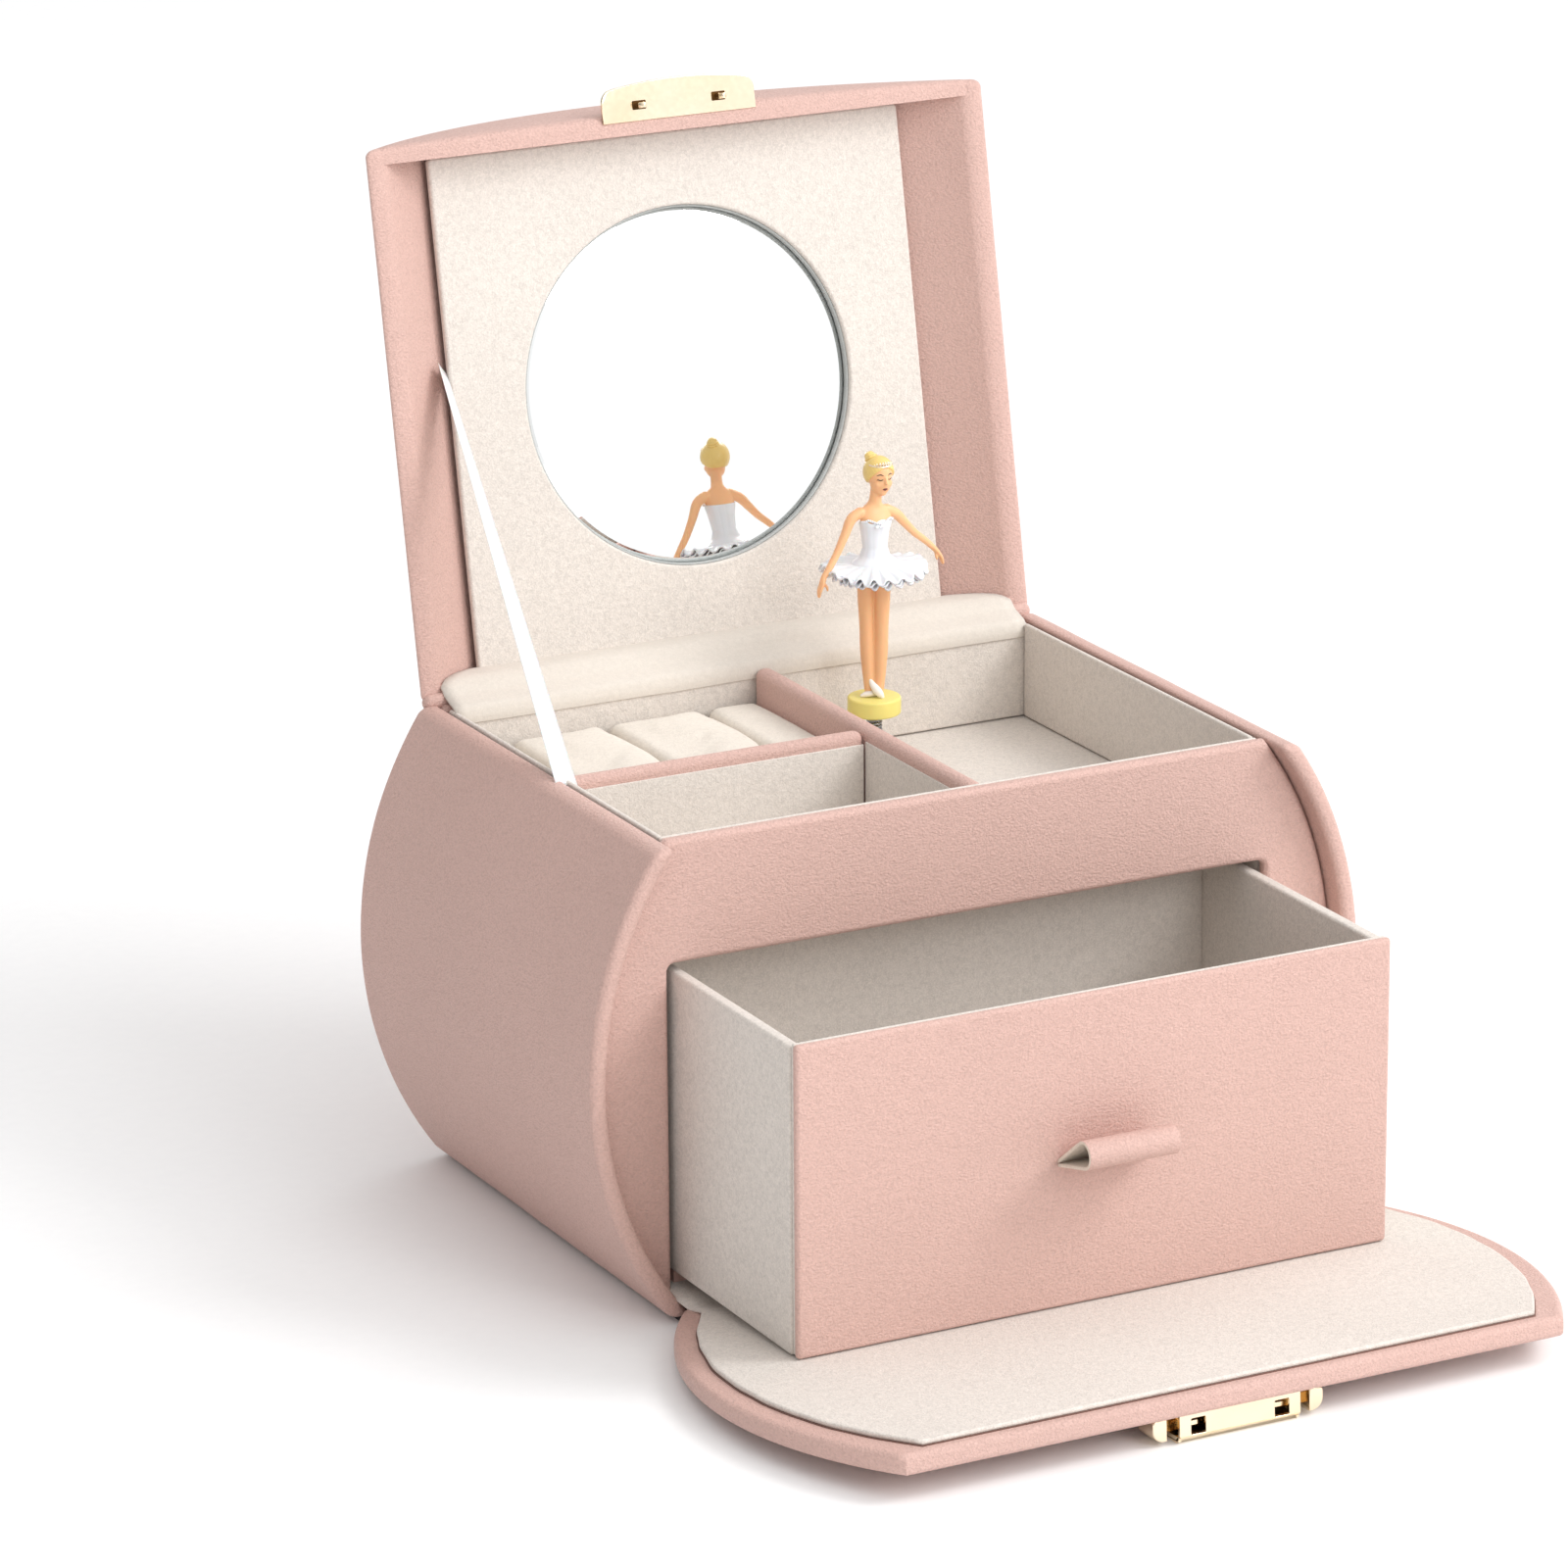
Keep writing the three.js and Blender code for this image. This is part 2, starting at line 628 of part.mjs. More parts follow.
class Helix extends THREE.Curve {
  constructor(radius, low, high, turns) {
    super();
    Object.assign(this, { radius, low, high, turns });
  }

  getPoint(t, target = new THREE.Vector3()) {
    const angle = 2 * Math.PI * this.turns * t;
    const height = this.low + (this.high - this.low) * t;
    return target.set(this.radius * Math.cos(angle), this.radius * Math.sin(angle), height);
  }
}

// A coil of round wire along Z.
function coil(radius, wire, low, high, turns) {
  const section = shapeOf(circle(0, 0, wire, 6));
  const path = new Helix(radius, low + wire, high - wire, turns);
  return new THREE.ExtrudeGeometry(section, { steps: 12 * turns, extrudePath: path, bevelEnabled: false });
}

function lathe(profile, steps = 16) {
  const points = profile.map(([radius, z]) => new THREE.Vector2(radius, z));
  return new THREE.LatheGeometry(points, steps).rotateX(Math.PI / 2);
}

// A limb of round section that tapers from one point to the next.
function limb(from, to, startRadius, endRadius, steps = 8) {
  const a = new THREE.Vector3(...from);
  const b = new THREE.Vector3(...to);
  const along = b.clone().sub(a);
  const cone = new THREE.CylinderGeometry(endRadius, startRadius, along.length(), steps);
  const turn = new THREE.Quaternion().setFromUnitVectors(new THREE.Vector3(0, 1, 0), along.normalize());
  return cone.applyQuaternion(turn).translate((a.x + b.x) / 2, (a.y + b.y) / 2, (a.z + b.z) / 2);
}

function ball(centre, radii, steps = 10) {
  return new THREE.SphereGeometry(1, steps, 8).scale(...radii).translate(...centre);
}

// The dancer stands on its own base, faces -Y and holds both arms out over the tutu.
function dancer() {
  const legs = [-1, 1].flatMap((side) => [
    limb([side * 1.1, 0, 4.4], [side * 1.7, 0, 19], 1.25, 1.7),
    limb([side * 1.7, 0, 18.5], [side * 1.9, 0, 33], 1.7, 2),
    ball([side * 1.1, -0.9, 5], [1.1, 2, 0.9]),
  ]);
  const tutu = lathe([[0, 31.2], [4, 31], [12.4, 29.8], [12.8, 31], [8, 34], [4, 35.6], [0, 35.8]], 24);
  const trunk = [[0, 34], [3.7, 35], [3.1, 38.5], [3.9, 44.5], [3.4, 47], [0, 48]];
  const torso = lathe(trunk, 14).scale(1, 0.8, 1);
  const shoulders = ball([0, 0, 47.8], [4.9, 2.3, 1.9], 12);
  const neck = limb([0, 0, 47.5], [0, 0, 53], 1.5, 1.4);
  const head = ball([0, -0.3, 56], [3.5, 3.8, 4.3], 14);
  const bun = ball([0, 2.8, 59.3], [1.6, 1.6, 1.5]);
  const hands = [[-14, -1.4, 31.4], [15.6, -0.8, 34]];
  const arms = hands.flatMap(([x, y, z]) => {
    const side = Math.sign(x);
    const elbow = [side * 9.6, -0.5, 41];
    return [
      limb([side * 4, 0, 48.2], elbow, 1.35, 1.1),
      limb(elbow, [x, y, z], 1.1, 0.8),
      ball(elbow, [1.1, 1.1, 1.1], 8),
      ball([x, y, z - 0.6], [0.9, 0.9, 1.5], 8),
    ];
  });
  return join([...legs, tutu, torso, shoulders, neck, head, bun, ...arms]);
}

function figurePieces() {
  const group = new THREE.Group();
  const base = lathe([[0, 0], [5.6, 0], [6, 0.5], [6, 3.5], [5.6, 4], [0, 4]], 24);
  group.add(
    piece('figure_base', base, YELLOW),
    piece('ballerina_figure', dancer(), FIGURE),
  );
  group.position.set(...SPINDLE, FIGURE_BOTTOM);
  group.rotation.z = THREE.MathUtils.degToRad(FIGURE_TURN);
  const spring = coil(1.5, 0.3, SPRING_BOTTOM, FIGURE_BOTTOM - GAP, 6);
  return [group, piece('ballerina_spring', spring.translate(...SPINDLE, 0), STEEL)];
}

// ---------------------------------------------------------------- movement

// A spur gear's outline. Each tooth is a blunt wedge; its width is given at the root and at the tip.
function gearOutline(teeth, root, tip, rootWidth, tipWidth) {
  const points = [];
  for (let i = 0; i < teeth; i += 1) {
    const angle = 2 * Math.PI * i / teeth;
    const corners = [[root, -rootWidth], [tip, -tipWidth], [tip, tipWidth], [root, rootWidth]];
    for (const [radius, width] of corners) {
      const turn = angle + width / (2 * radius);
      points.push([radius * Math.cos(turn), radius * Math.sin(turn)]);
    }
  }
  return points;
}

const PINION_OUTLINE = gearOutline(PINION_TEETH, 2.5, PINION_PITCH_RADIUS + 0.75, 1.5, 0.6);

// The barrel is a drum open at the back, with crown teeth on its front face. The teeth sit half a pitch
// off its vertical and horizontal lines, where the two pinions' own teeth reach in.
function springBarrel() {
  const face = CROWN_PLANE + 1.2;
  const drum = cut(rodAlongY(12.4, face, 51.2, 32), [
    rodAlongY(11.2, face + 2, 52, 32),
    rodAlongY(AXLE + GAP, face - 1, 52, 16),
  ]);
  const pitch = 2 * Math.PI / CROWN_TEETH;
  const teeth = [];
  for (let i = 0; i < CROWN_TEETH; i += 1) {
    const wedge = [[-0.75, 0.1], [-0.3, -1.9], [0.3, -1.9], [0.75, 0.1]];
    const tooth = extrude(wedge, 2.8).translate(0, face, CROWN_PITCH_RADIUS - 1.5);
    teeth.push(tooth.rotateY(pitch * (i + 0.5)));
  }
  return join([drum, ...teeth]).translate(SPINDLE[0], 0, KEY_HEIGHT);
}

// A flat spiral of spring strip inside the barrel.
function mainspring() {
  const turns = 5;
  const steps = 16 * turns;
  const inner = 2.6;
  const growth = 1.5;
  const strip = 0.35;
  const line = [];
  const back = [];
  for (let i = 0; i <= steps; i += 1) {
    const angle = 2 * Math.PI * turns * i / steps;
    const radius = inner + growth * turns * i / steps;
    line.push([radius * Math.cos(angle), radius * Math.sin(angle)]);
    back.push([(radius + strip) * Math.cos(angle), (radius + strip) * Math.sin(angle)]);
  }
  const spiral = facePlate([...line, ...back.reverse()], 43.6, 50.4);
  return piece('mainspring', spiral.translate(SPINDLE[0], 0, KEY_HEIGHT), STEEL);
}

// The pinned drum, its axle, the pinion that meets the crown and the gear that drives the fly.
function musicCylinder() {
  const drum = rodAlongX(CYLINDER_RADIUS, CYLINDER_LEFT, CYLINDER_RIGHT, 32);
  const axle = rodAlongX(AXLE, -20.5, 16, 12);
  const reach = SPINDLE[0] - CROWN_PITCH_RADIUS;
  const pinion = flatPlate(PINION_OUTLINE, reach - 1.4, reach + 1.4).rotateY(Math.PI / 2);
  const wheelOutline = gearOutline(GEAR_TEETH, 7.1, 8.35, 1, 0.5);
  const wheel = flatPlate(wheelOutline, GEAR_LEFT, GEAR_RIGHT).rotateY(Math.PI / 2);
  const pins = [];
  const perRow = 12;
  for (let i = 0; i < 3 * perRow; i += 1) {
    const angle = 2 * Math.PI * ((i * 7) % 36) / 36;
    const x = CYLINDER_LEFT + 1 + 1.65 * (i % perRow);
    const pin = rod(0.25, CYLINDER_RADIUS - 0.4, CYLINDER_RADIUS + 0.7, 4).translate(x, 0, 0);
    pins.push(pin.rotateX(angle));
  }
  return join([drum, axle, pinion, wheel, ...pins]).translate(0, SPINDLE[1], KEY_HEIGHT);
}

const FLY_HEIGHT = KEY_HEIGHT - GEAR_PITCH_RADIUS - FLY_PITCH_RADIUS;

// The fly's pinion meshes under the cylinder's gear; its two vanes brake the movement with air.
function governorFly() {
  const axle = rodAlongX(0.8, -20.5, 7.5, 10);
  const outline = gearOutline(PINION_TEETH, 1.8, FLY_PITCH_RADIUS + 0.5, 1, 0.45);
  const halfPitch = Math.PI / PINION_TEETH;
  const pinion = flatPlate(outline, GEAR_LEFT, GEAR_RIGHT).rotateZ(halfPitch).rotateY(Math.PI / 2);
  const hub = rodAlongX(1.6, -11, 5, 10);
  const vanes = block(-10, 4, -3.1, 3.1, -0.3, 0.3);
  return join([axle, pinion, hub, vanes]).translate(0, SPINDLE[1], FLY_HEIGHT);
}

function spindle() {
  const top = KEY_HEIGHT + CROWN_PITCH_RADIUS;
  const shaft = rod(AXLE, 43, SPRING_BOTTOM - GAP, 12);
  const teeth = flatPlate(PINION_OUTLINE, top - 1.4, top + 1.4);
  const collar = rod(2.4, 54.6, 56.2, 12);
  return piece('spindle', join([shaft, teeth, collar]).translate(...SPINDLE, 0), STEEL);
}

function spindleBush() {
  const bore = AXLE + GAP;
  const low = TRAY_FLOOR_BOTTOM - 0.5;
  const flange = TRAY_FLOOR_TOP + GAP;
  const top = flange + 0.8;
  const profile = [[bore, low], [4.1, low], [4.1, flange], [5.6, flange], [5.6, top], [bore, top]];
  const bush = lathe([...profile, profile[0]], 20);
  return piece('spindle_bush', bush.translate(...SPINDLE, 0), BRASS);
}

const BED_FRONT = 52.4;
const BED_BACK = 54;

function bedplate() {
  const holes = [
    circle(SPINDLE[0], KEY_HEIGHT, 3),
    circle(-18, 56, 1.6, 12),
    circle(34, 14, 1.6, 12),
  ];
  const outline = rectangle(-24, 40, 10, 62);
  return piece('bedplate', facePlate(outline, BED_FRONT, BED_BACK, holes), STEEL);
}

// A bearing plate that stands forward from the bedplate and carries the cylinder and the fly.
function bearingPlate(name, left, right) {
  const outline = rectangle(31.5, BED_FRONT - GAP, 20, 46);
  const holes = [
    circle(SPINDLE[1], KEY_HEIGHT, AXLE + GAP, 14),
    circle(SPINDLE[1], FLY_HEIGHT, 0.8 + GAP, 14),
  ];
  return piece(name, sidePlate(outline, left, right, holes), BRASS);
}

// The upper bearing of the spindle, an angle bracket on the bedplate.
function spindleBracket() {
  const [x, y] = SPINDLE;
  const outline = rectangle(x - 5, x + 5, y - 4, BED_FRONT - GAP);
  const arm = flatPlate(outline, 52.4, 54, [circle(x, y, AXLE + GAP, 14)]);
  const foot = block(x - 5, x + 5, 50.8, BED_FRONT - GAP, 53, 60);
  return piece('spindle_bracket', join([arm, foot]), BRASS);
}

const COMB_LOW = 43.4;
const COMB_HIGH = 60;

function combPieces() {
  const outline = [[CYLINDER_RIGHT, COMB_HIGH], [CYLINDER_LEFT, COMB_HIGH]];
  const teeth = 12;
  const pitch = (CYLINDER_RIGHT - CYLINDER_LEFT) / teeth;
  for (let i = 0; i < teeth; i += 1) {
    const left = CYLINDER_LEFT + pitch * i;
    const right = left + pitch - 0.4;
    outline.push([left, COMB_LOW], [right, COMB_LOW], [right, 53], [left + pitch, 53]);
  }
  const y = SPINDLE[1];
  const comb = facePlate(outline, y - 0.5, y + 0.5);
  const anchor = block(CYLINDER_LEFT, CYLINDER_RIGHT, y + 0.8, BED_FRONT - GAP, 54, 60.5);
  return [piece('comb', comb, STEEL), piece('comb_block', anchor, BRASS)];
}

function movementScrews() {
  return [[-18, 56], [34, 14]].map(([x, z], index) => {
    const shank = rodAlongY(1.2, 51, BACK_FACE - GAP, 12);
    const head = cut(rodAlongY(2.6, 50.2, BED_FRONT - GAP, 16), [block(-3, 3, 49, 50.8, -0.4, 0.4)]);
    const screw = join([shank, head]).translate(x, 0, z);
    return piece(`movement_screw_${index + 1}`, screw, STEEL);
  });
}

function windingPieces() {
  const arbor = rodAlongY(AXLE, 42.3, 70, 12).translate(SPINDLE[0], 0, KEY_HEIGHT);
  const wings = [];
  for (const side of [-1, 1]) {
    const lobe = circle(side * 7.5, 0, 5.2, 20);
    wings.push(facePlate(lobe, 67.4, 69, [circle(side * 8, 0, 2.4, 14)]));
  }
  const hub = rodAlongY(3, 60.4, 70, 20);
  const bridge = block(-4, 4, 67.4, 69, -2.4, 2.4);
  const bore = rodAlongY(AXLE + GAP, 60, 71, 14);
  const key = cut(join([...wings, hub, bridge]), [bore]).translate(SPINDLE[0], 0, KEY_HEIGHT);
  return [piece('winding_arbor', arbor, STEEL), piece('winding_key', key, BRASS)];
}

function movementPieces() {
  return [
    bedplate(),
    bearingPlate('bearing_plate_left', -15.6, -14.4),
    bearingPlate('bearing_plate_right', 9.8, 10.9),
    spindleBracket(),
    ...combPieces(),
    ...movementScrews(),
    piece('spring_barrel', springBarrel(), BRASS),
    mainspring(),
    piece('music_cylinder', musicCylinder(), BRASS),
    piece('governor_fly', governorFly(), BRASS),
    ...windingPieces(),
    spindle(),
    spindleBush(),
  ];
}

// ---------------------------------------------------------------- the whole box

const box = new THREE.Group();
box.add(
  ...casePieces(),
  lid(),
  lidRibbon(),
  ...drawer(),
  flap(),
  ...figurePieces(),
  ...movementPieces(),
);

export default box;
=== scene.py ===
"""A ballerina jewellery box, open: a bowed leatherette case with a velvet tray and drawer, a drop-down
flap with a gold clasp, a domed lid with a mirror, and a small dancer on a spring.

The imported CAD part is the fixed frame. Sizes below are in millimetres and come from its nodes; meshes
are made in metres.
"""

import math

import bmesh
import bpy
from mathutils import Matrix, Vector, noise


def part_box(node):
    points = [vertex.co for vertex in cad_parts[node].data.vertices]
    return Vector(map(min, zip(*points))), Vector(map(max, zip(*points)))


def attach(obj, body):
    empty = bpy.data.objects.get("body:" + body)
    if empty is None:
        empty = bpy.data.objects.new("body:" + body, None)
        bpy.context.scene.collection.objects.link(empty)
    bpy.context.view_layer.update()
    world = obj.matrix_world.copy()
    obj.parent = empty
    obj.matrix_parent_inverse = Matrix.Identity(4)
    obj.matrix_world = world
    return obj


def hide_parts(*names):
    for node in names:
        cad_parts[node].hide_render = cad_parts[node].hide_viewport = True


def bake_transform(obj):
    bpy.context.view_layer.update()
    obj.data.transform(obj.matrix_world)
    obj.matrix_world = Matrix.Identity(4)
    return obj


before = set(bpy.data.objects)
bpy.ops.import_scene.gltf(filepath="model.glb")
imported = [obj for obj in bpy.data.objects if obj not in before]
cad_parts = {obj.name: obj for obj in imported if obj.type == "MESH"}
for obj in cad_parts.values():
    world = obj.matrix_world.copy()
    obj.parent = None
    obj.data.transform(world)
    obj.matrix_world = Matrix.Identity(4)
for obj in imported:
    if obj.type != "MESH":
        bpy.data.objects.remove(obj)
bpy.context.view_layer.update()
MM = 0.001


def span(node):
    """The lowest and highest corner of a CAD node, in millimetres."""
    low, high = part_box(node)
    return low / MM, high / MM


# ---------------------------------------------------------------- sizes, from the frame

SIDE_LOW, SIDE_HIGH = span("right_side_board")
FRONT_LOW, FRONT_HIGH = span("front_board")
BACK_LOW, BACK_HIGH = span("back_board")
CASE_LOW = SIDE_LOW.z
CASE_TOP = SIDE_HIGH.z
HALF_DEPTH = SIDE_HIGH.y
SIDE_BOARD = 3.8
HALF_TOP = 77.0  # half the width of the case at its rim
BOW_X = 5.33  # the sides' outer faces are arcs about this half width and height
BOW_Z = 54.5
BOW_RADIUS = SIDE_HIGH.x - BOW_X

OPENING_HALF = span("bay_partition")[1].x
OPENING_TOP = 77.9
OPENING_RADIUS = 1.8

LID_HINGE = Vector((0.0, HALF_DEPTH, CASE_TOP + 0.4))
LID_LEAN = 100.9  # degrees that the lid has turned from shut
LID_HALF = span("lid_roof")[1].x
LID_LENGTH = 121.2
LID_RISE = 33.0
LID_SLANT = 2.6  # the lid's front leans out this far from its rim to its crown
LID_INNER_HALF = LID_HALF - 5.0
LID_INNER_RISE = LID_RISE - 4.0
PANEL_DEPTH = 8.0
PANEL_HALF = span("lid_inner_panel")[1].x
PANEL_THICK = 2.0
MIRROR_FROM_HINGE = 60.6
WINDOW_RADIUS = 40.3

FLAP_AXIS = Vector((0.0, -62.2, 2.6))
FLAP_TILT = 3.55  # degrees that the open flap slopes down from level
FLAP_REACH = 102.3  # from the hinge line to the free edge

TO_LID = Matrix.Translation(LID_HINGE) @ Matrix.Rotation(math.radians(-LID_LEAN), 4, "X")
TO_FLAP = Matrix.Translation(FLAP_AXIS) @ Matrix.Rotation(math.radians(-FLAP_TILT), 4, "X")
TO_BACK = Matrix.Rotation(math.radians(-90), 4, "X")  # turns a lathed shape's axis to point out of the back

DRAWER_LOW, DRAWER_HIGH = span("drawer_front")
FIGURE_LOW, FIGURE_HIGH = span("figure_base")
SPINDLE = (FIGURE_LOW + FIGURE_HIGH) / 2
FIGURE_TURN = -2.0  # degrees about Z from facing straight out over the drawer
TO_FIGURE = (
    Matrix.Translation(Vector((SPINDLE.x, SPINDLE.y, FIGURE_LOW.z)))
    @ Matrix.Rotation(math.radians(FIGURE_TURN), 4, "Z")
)
FEET_TURN = Matrix.Rotation(math.radians(-24), 4, "Z")  # the feet point a little to the figure's right


# ---------------------------------------------------------------- node materials

def srgb(red, green, blue):
    """A colour given in 0 to 255 display values, as linear light."""
    def linear(value):
        share = value / 255
        return share / 12.92 if share <= 0.04045 else ((share + 0.055) / 1.055) ** 2.4

    return (linear(red), linear(green), linear(blue), 1.0)


def shade(colour, factor):
    return tuple(min(1.0, c * factor) for c in colour[:3]) + (1.0,)


class Shader:
    """A Principled material with procedural textures in the object's own space."""

    def __init__(self, name, roughness, metallic=0.0):
        self.material = bpy.data.materials.new(name)
        self.material.use_nodes = True
        self.tree = self.material.node_tree
        self.surface = self.tree.nodes["Principled BSDF"]
        self.surface.inputs["Roughness"].default_value = roughness
        self.surface.inputs["Metallic"].default_value = metallic
        self.place = self.node("ShaderNodeTexCoord").outputs["Object"]

    def node(self, kind, **values):
        made = self.tree.nodes.new(kind)
        for key, value in values.items():
            setattr(made, key, value)
        return made

    def link(self, start, end):
        self.tree.links.new(start, end)

    def set(self, **values):
        for key, value in values.items():
            self.surface.inputs[key.replace("_", " ")].default_value = value
        return self

    def noise(self, per_metre, detail=2.0, distortion=0.0, stretch=(1, 1, 1)):
        texture = self.node("ShaderNodeTexNoise")
        texture.inputs["Scale"].default_value = per_metre
        texture.inputs["Detail"].default_value = detail
        texture.inputs["Distortion"].default_value = distortion
        scaling = self.node("ShaderNodeMapping")
        scaling.inputs["Scale"].default_value = stretch
        self.link(self.place, scaling.inputs["Vector"])
        self.link(scaling.outputs["Vector"], texture.inputs["Vector"])
        return texture.outputs["Fac"]

    def cells(self, per_metre, wobble=0.0, stretch=(1, 1, 1)):
        """Rounded cells, like the pebbles of a leather grain, pushed about by noise."""
        scaling = self.node("ShaderNodeMapping")
        scaling.inputs["Scale"].default_value = stretch
        self.link(self.place, scaling.inputs["Vector"])
        push = self.node("ShaderNodeTexNoise")
        push.inputs["Scale"].default_value = per_metre * 0.45
        self.link(scaling.outputs["Vector"], push.inputs["Vector"])
        mix = self.node("ShaderNodeMix", data_type="VECTOR")
        mix.inputs["Factor"].default_value = wobble / per_metre
        self.link(scaling.outputs["Vector"], mix.inputs[4])
        self.link(push.outputs["Color"], mix.inputs[5])
        texture = self.node("ShaderNodeTexVoronoi", feature="SMOOTH_F1")
        texture.inputs["Scale"].default_value = per_metre
        self.link(mix.outputs[1], texture.inputs["Vector"])
        return texture.outputs["Distance"]

    def ramp(self, value, low, high, to_low=0.0, to_high=1.0):
        remap = self.node("ShaderNodeMapRange")
        for key, number in zip(("From Min", "From Max", "To Min", "To Max"), (low, high, to_low, to_high)):
            remap.inputs[key].default_value = number
        self.link(value, remap.inputs["Value"])
        return remap.outputs["Result"]

    def blend(self, factor, first, second):
        """Two colours mixed by a factor; either may be another node's colour."""
        mix = self.node("ShaderNodeMix", data_type="RGBA")
        self.link(factor, mix.inputs["Factor"])
        for socket, colour in ((mix.inputs[6], first), (mix.inputs[7], second)):
            if isinstance(colour, tuple):
                socket.default_value = colour
            else:
                self.link(colour, socket)
        return mix.outputs[2]

    def colour(self, output):
        self.link(output, self.surface.inputs["Base Color"])
        return self

    def rough(self, output):
        self.link(output, self.surface.inputs["Roughness"])
        return self

    def bump(self, *heights):
        """Layers of (height output, depth in millimetres, strength), one over the other."""
        normal = None
        for height, depth, strength in heights:
            bump = self.node("ShaderNodeBump")
            bump.inputs["Distance"].default_value = depth * MM
            bump.inputs["Strength"].default_value = strength
            self.link(height, bump.inputs["Height"])
            if normal is not None:
                self.link(normal, bump.inputs["Normal"])
            normal = bump.outputs["Normal"]
        self.link(normal, self.surface.inputs["Normal"])
        return self


PINK = srgb(219, 181, 170)
CREAM = srgb(219, 211, 203)


def leatherette(name, grain=1.0):
    """Embossed leatherette: fine pebbles broken up by short wrinkles, with painted shade darkening the
    creases and the pebbles' valleys.
    """
    paint = Shader(name, 0.5)
    pebbles = paint.cells(1900, wobble=0.8, stretch=(1.0, 1.0, 1.3))
    wrinkles = paint.noise(1700, detail=1.0, distortion=1.0, stretch=(1.0, 1.0, 1.3))
    ridges = paint.node("ShaderNodeMath", operation="PINGPONG")
    ridges.inputs[1].default_value = 0.09
    paint.link(wrinkles, ridges.inputs[0])
    folds = paint.ramp(ridges.outputs[0], 0.0, 0.09)
    pores = paint.noise(5200, detail=2.0)
    clouds = paint.noise(14, detail=3.0)
    tone = paint.blend(paint.ramp(clouds, 0.3, 0.7), shade(PINK, 0.965), shade(PINK, 1.03))
    # painted shade: the wrinkles' creases and the pebbles' valleys are darkened where the bump sinks
    crease_shaded = paint.blend(paint.ramp(folds, 0.0, 0.6, 0.24 * grain, 0.0), tone, shade(PINK, 0.68))
    deep = paint.blend(paint.ramp(pebbles, 0.28, 0.66, 0.0, 0.38 * grain), crease_shaded, shade(PINK, 0.68))
    paint.colour(paint.blend(paint.ramp(pores, 0.45, 0.75, 0.0, 0.3 * grain), deep, shade(PINK, 1.22)))
    paint.rough(paint.ramp(pebbles, 0.1, 0.7, 0.4, 0.62))
    paint.bump((pebbles, -0.28, 0.75 * grain), (folds, 0.14, 0.5 * grain), (pores, 0.04, 0.3 * grain))
    paint.set(Specular_IOR_Level=0.5, Sheen_Weight=0.05, Sheen_Roughness=0.4)
    return paint.material


def velvet(name, tint=CREAM, pile=1.0):
    """Flocked lining: a short matt pile that lies a little unevenly, in small tufts."""
    paint = Shader(name, 0.95)
    fibres = paint.noise(2600, detail=4.0)
    tufts = paint.noise(900, detail=3.0, distortion=0.6)
    brushed = paint.noise(22, detail=2.0)
    tone = paint.blend(paint.ramp(brushed, 0.3, 0.7), shade(tint, 0.96), shade(tint, 1.03))
    speckle = paint.blend(paint.ramp(tufts, 0.4, 0.66, 0.0, 0.5 * pile), tone, shade(tint, 0.76))
    fleck = paint.blend(paint.ramp(fibres, 0.45, 0.72, 0.0, 0.55 * pile), speckle, shade(tint, 1.26))
    paint.colour(fleck)
    paint.bump((tufts, 0.32, 0.6 * pile), (fibres, 0.18, 0.7 * pile))
    paint.set(Sheen_Weight=0.2, Sheen_Roughness=0.45, Specular_IOR_Level=0.15)
    return paint.material


def woven_satin(name):
    """White ribbon: fine ribs across it with a lustre along the threads."""
    paint = Shader(name, 0.38)
    ribs = paint.node("ShaderNodeTexWave", wave_type="BANDS", bands_direction="Z")
    ribs.inputs["Scale"].default_value = 700
    ribs.inputs["Distortion"].default_value = 1.2
    paint.link(paint.place, ribs.inputs["Vector"])
    threads = paint.noise(2600, detail=3.0, stretch=(1, 1, 0.25))
    paint.colour(paint.blend(paint.ramp(threads, 0.3, 0.75), srgb(226, 227, 228), srgb(243, 243, 242)))
    paint.bump((ribs.outputs["Fac"], 0.06, 0.5), (threads, 0.08, 0.5))
    paint.set(Sheen_Weight=0.5, Anisotropic=0.4, Subsurface_Weight=0.2, Subsurface_Scale=0.8 * MM)
    return paint.material


def metal(name, light, dark, roughness, brushed=(1, 1, 1)):
    """Plated or bare metal with faint handling marks."""
    paint = Shader(name, roughness, metallic=1.0)
    marks = paint.noise(900, detail=4.0, stretch=brushed)
    patches = paint.noise(60, detail=2.0)
    tone = paint.blend(paint.ramp(patches, 0.3, 0.7), dark, light)
    paint.colour(tone)
    paint.rough(paint.ramp(marks, 0.3, 0.75, roughness * 0.75, roughness * 1.35))
    paint.bump((marks, 0.02, 0.25))
    return paint.material


def moulded(name, tint, roughness, glow=0.0, coat=0.0):
    """Painted or self-coloured moulded plastic with a slight orange-peel surface."""
    paint = Shader(name, roughness)
    peel = paint.noise(700, detail=2.0)
    mottle = paint.noise(110, detail=2.0)
    paint.colour(paint.blend(paint.ramp(mottle, 0.3, 0.7), shade(tint, 0.95), shade(tint, 1.03)))
    paint.rough(paint.ramp(peel, 0.3, 0.7, roughness * 0.85, roughness * 1.2))
    paint.bump((peel, 0.05, 0.25))
    paint.set(Subsurface_Weight=glow, Subsurface_Scale=0.6 * MM, Coat_Weight=coat, Coat_Roughness=0.2)
    return paint.material


def board_card(name, tint):
    """Grey or brown pressed board, bare at a cut edge or on a hidden partition."""
    paint = Shader(name, 0.85)
    fibres = paint.noise(1800, detail=4.0, stretch=(1, 1, 4))
    paint.colour(paint.blend(paint.ramp(fibres, 0.3, 0.7), shade(tint, 0.8), shade(tint, 1.1)))
    paint.bump((fibres, 0.1, 0.5))
    return paint.material


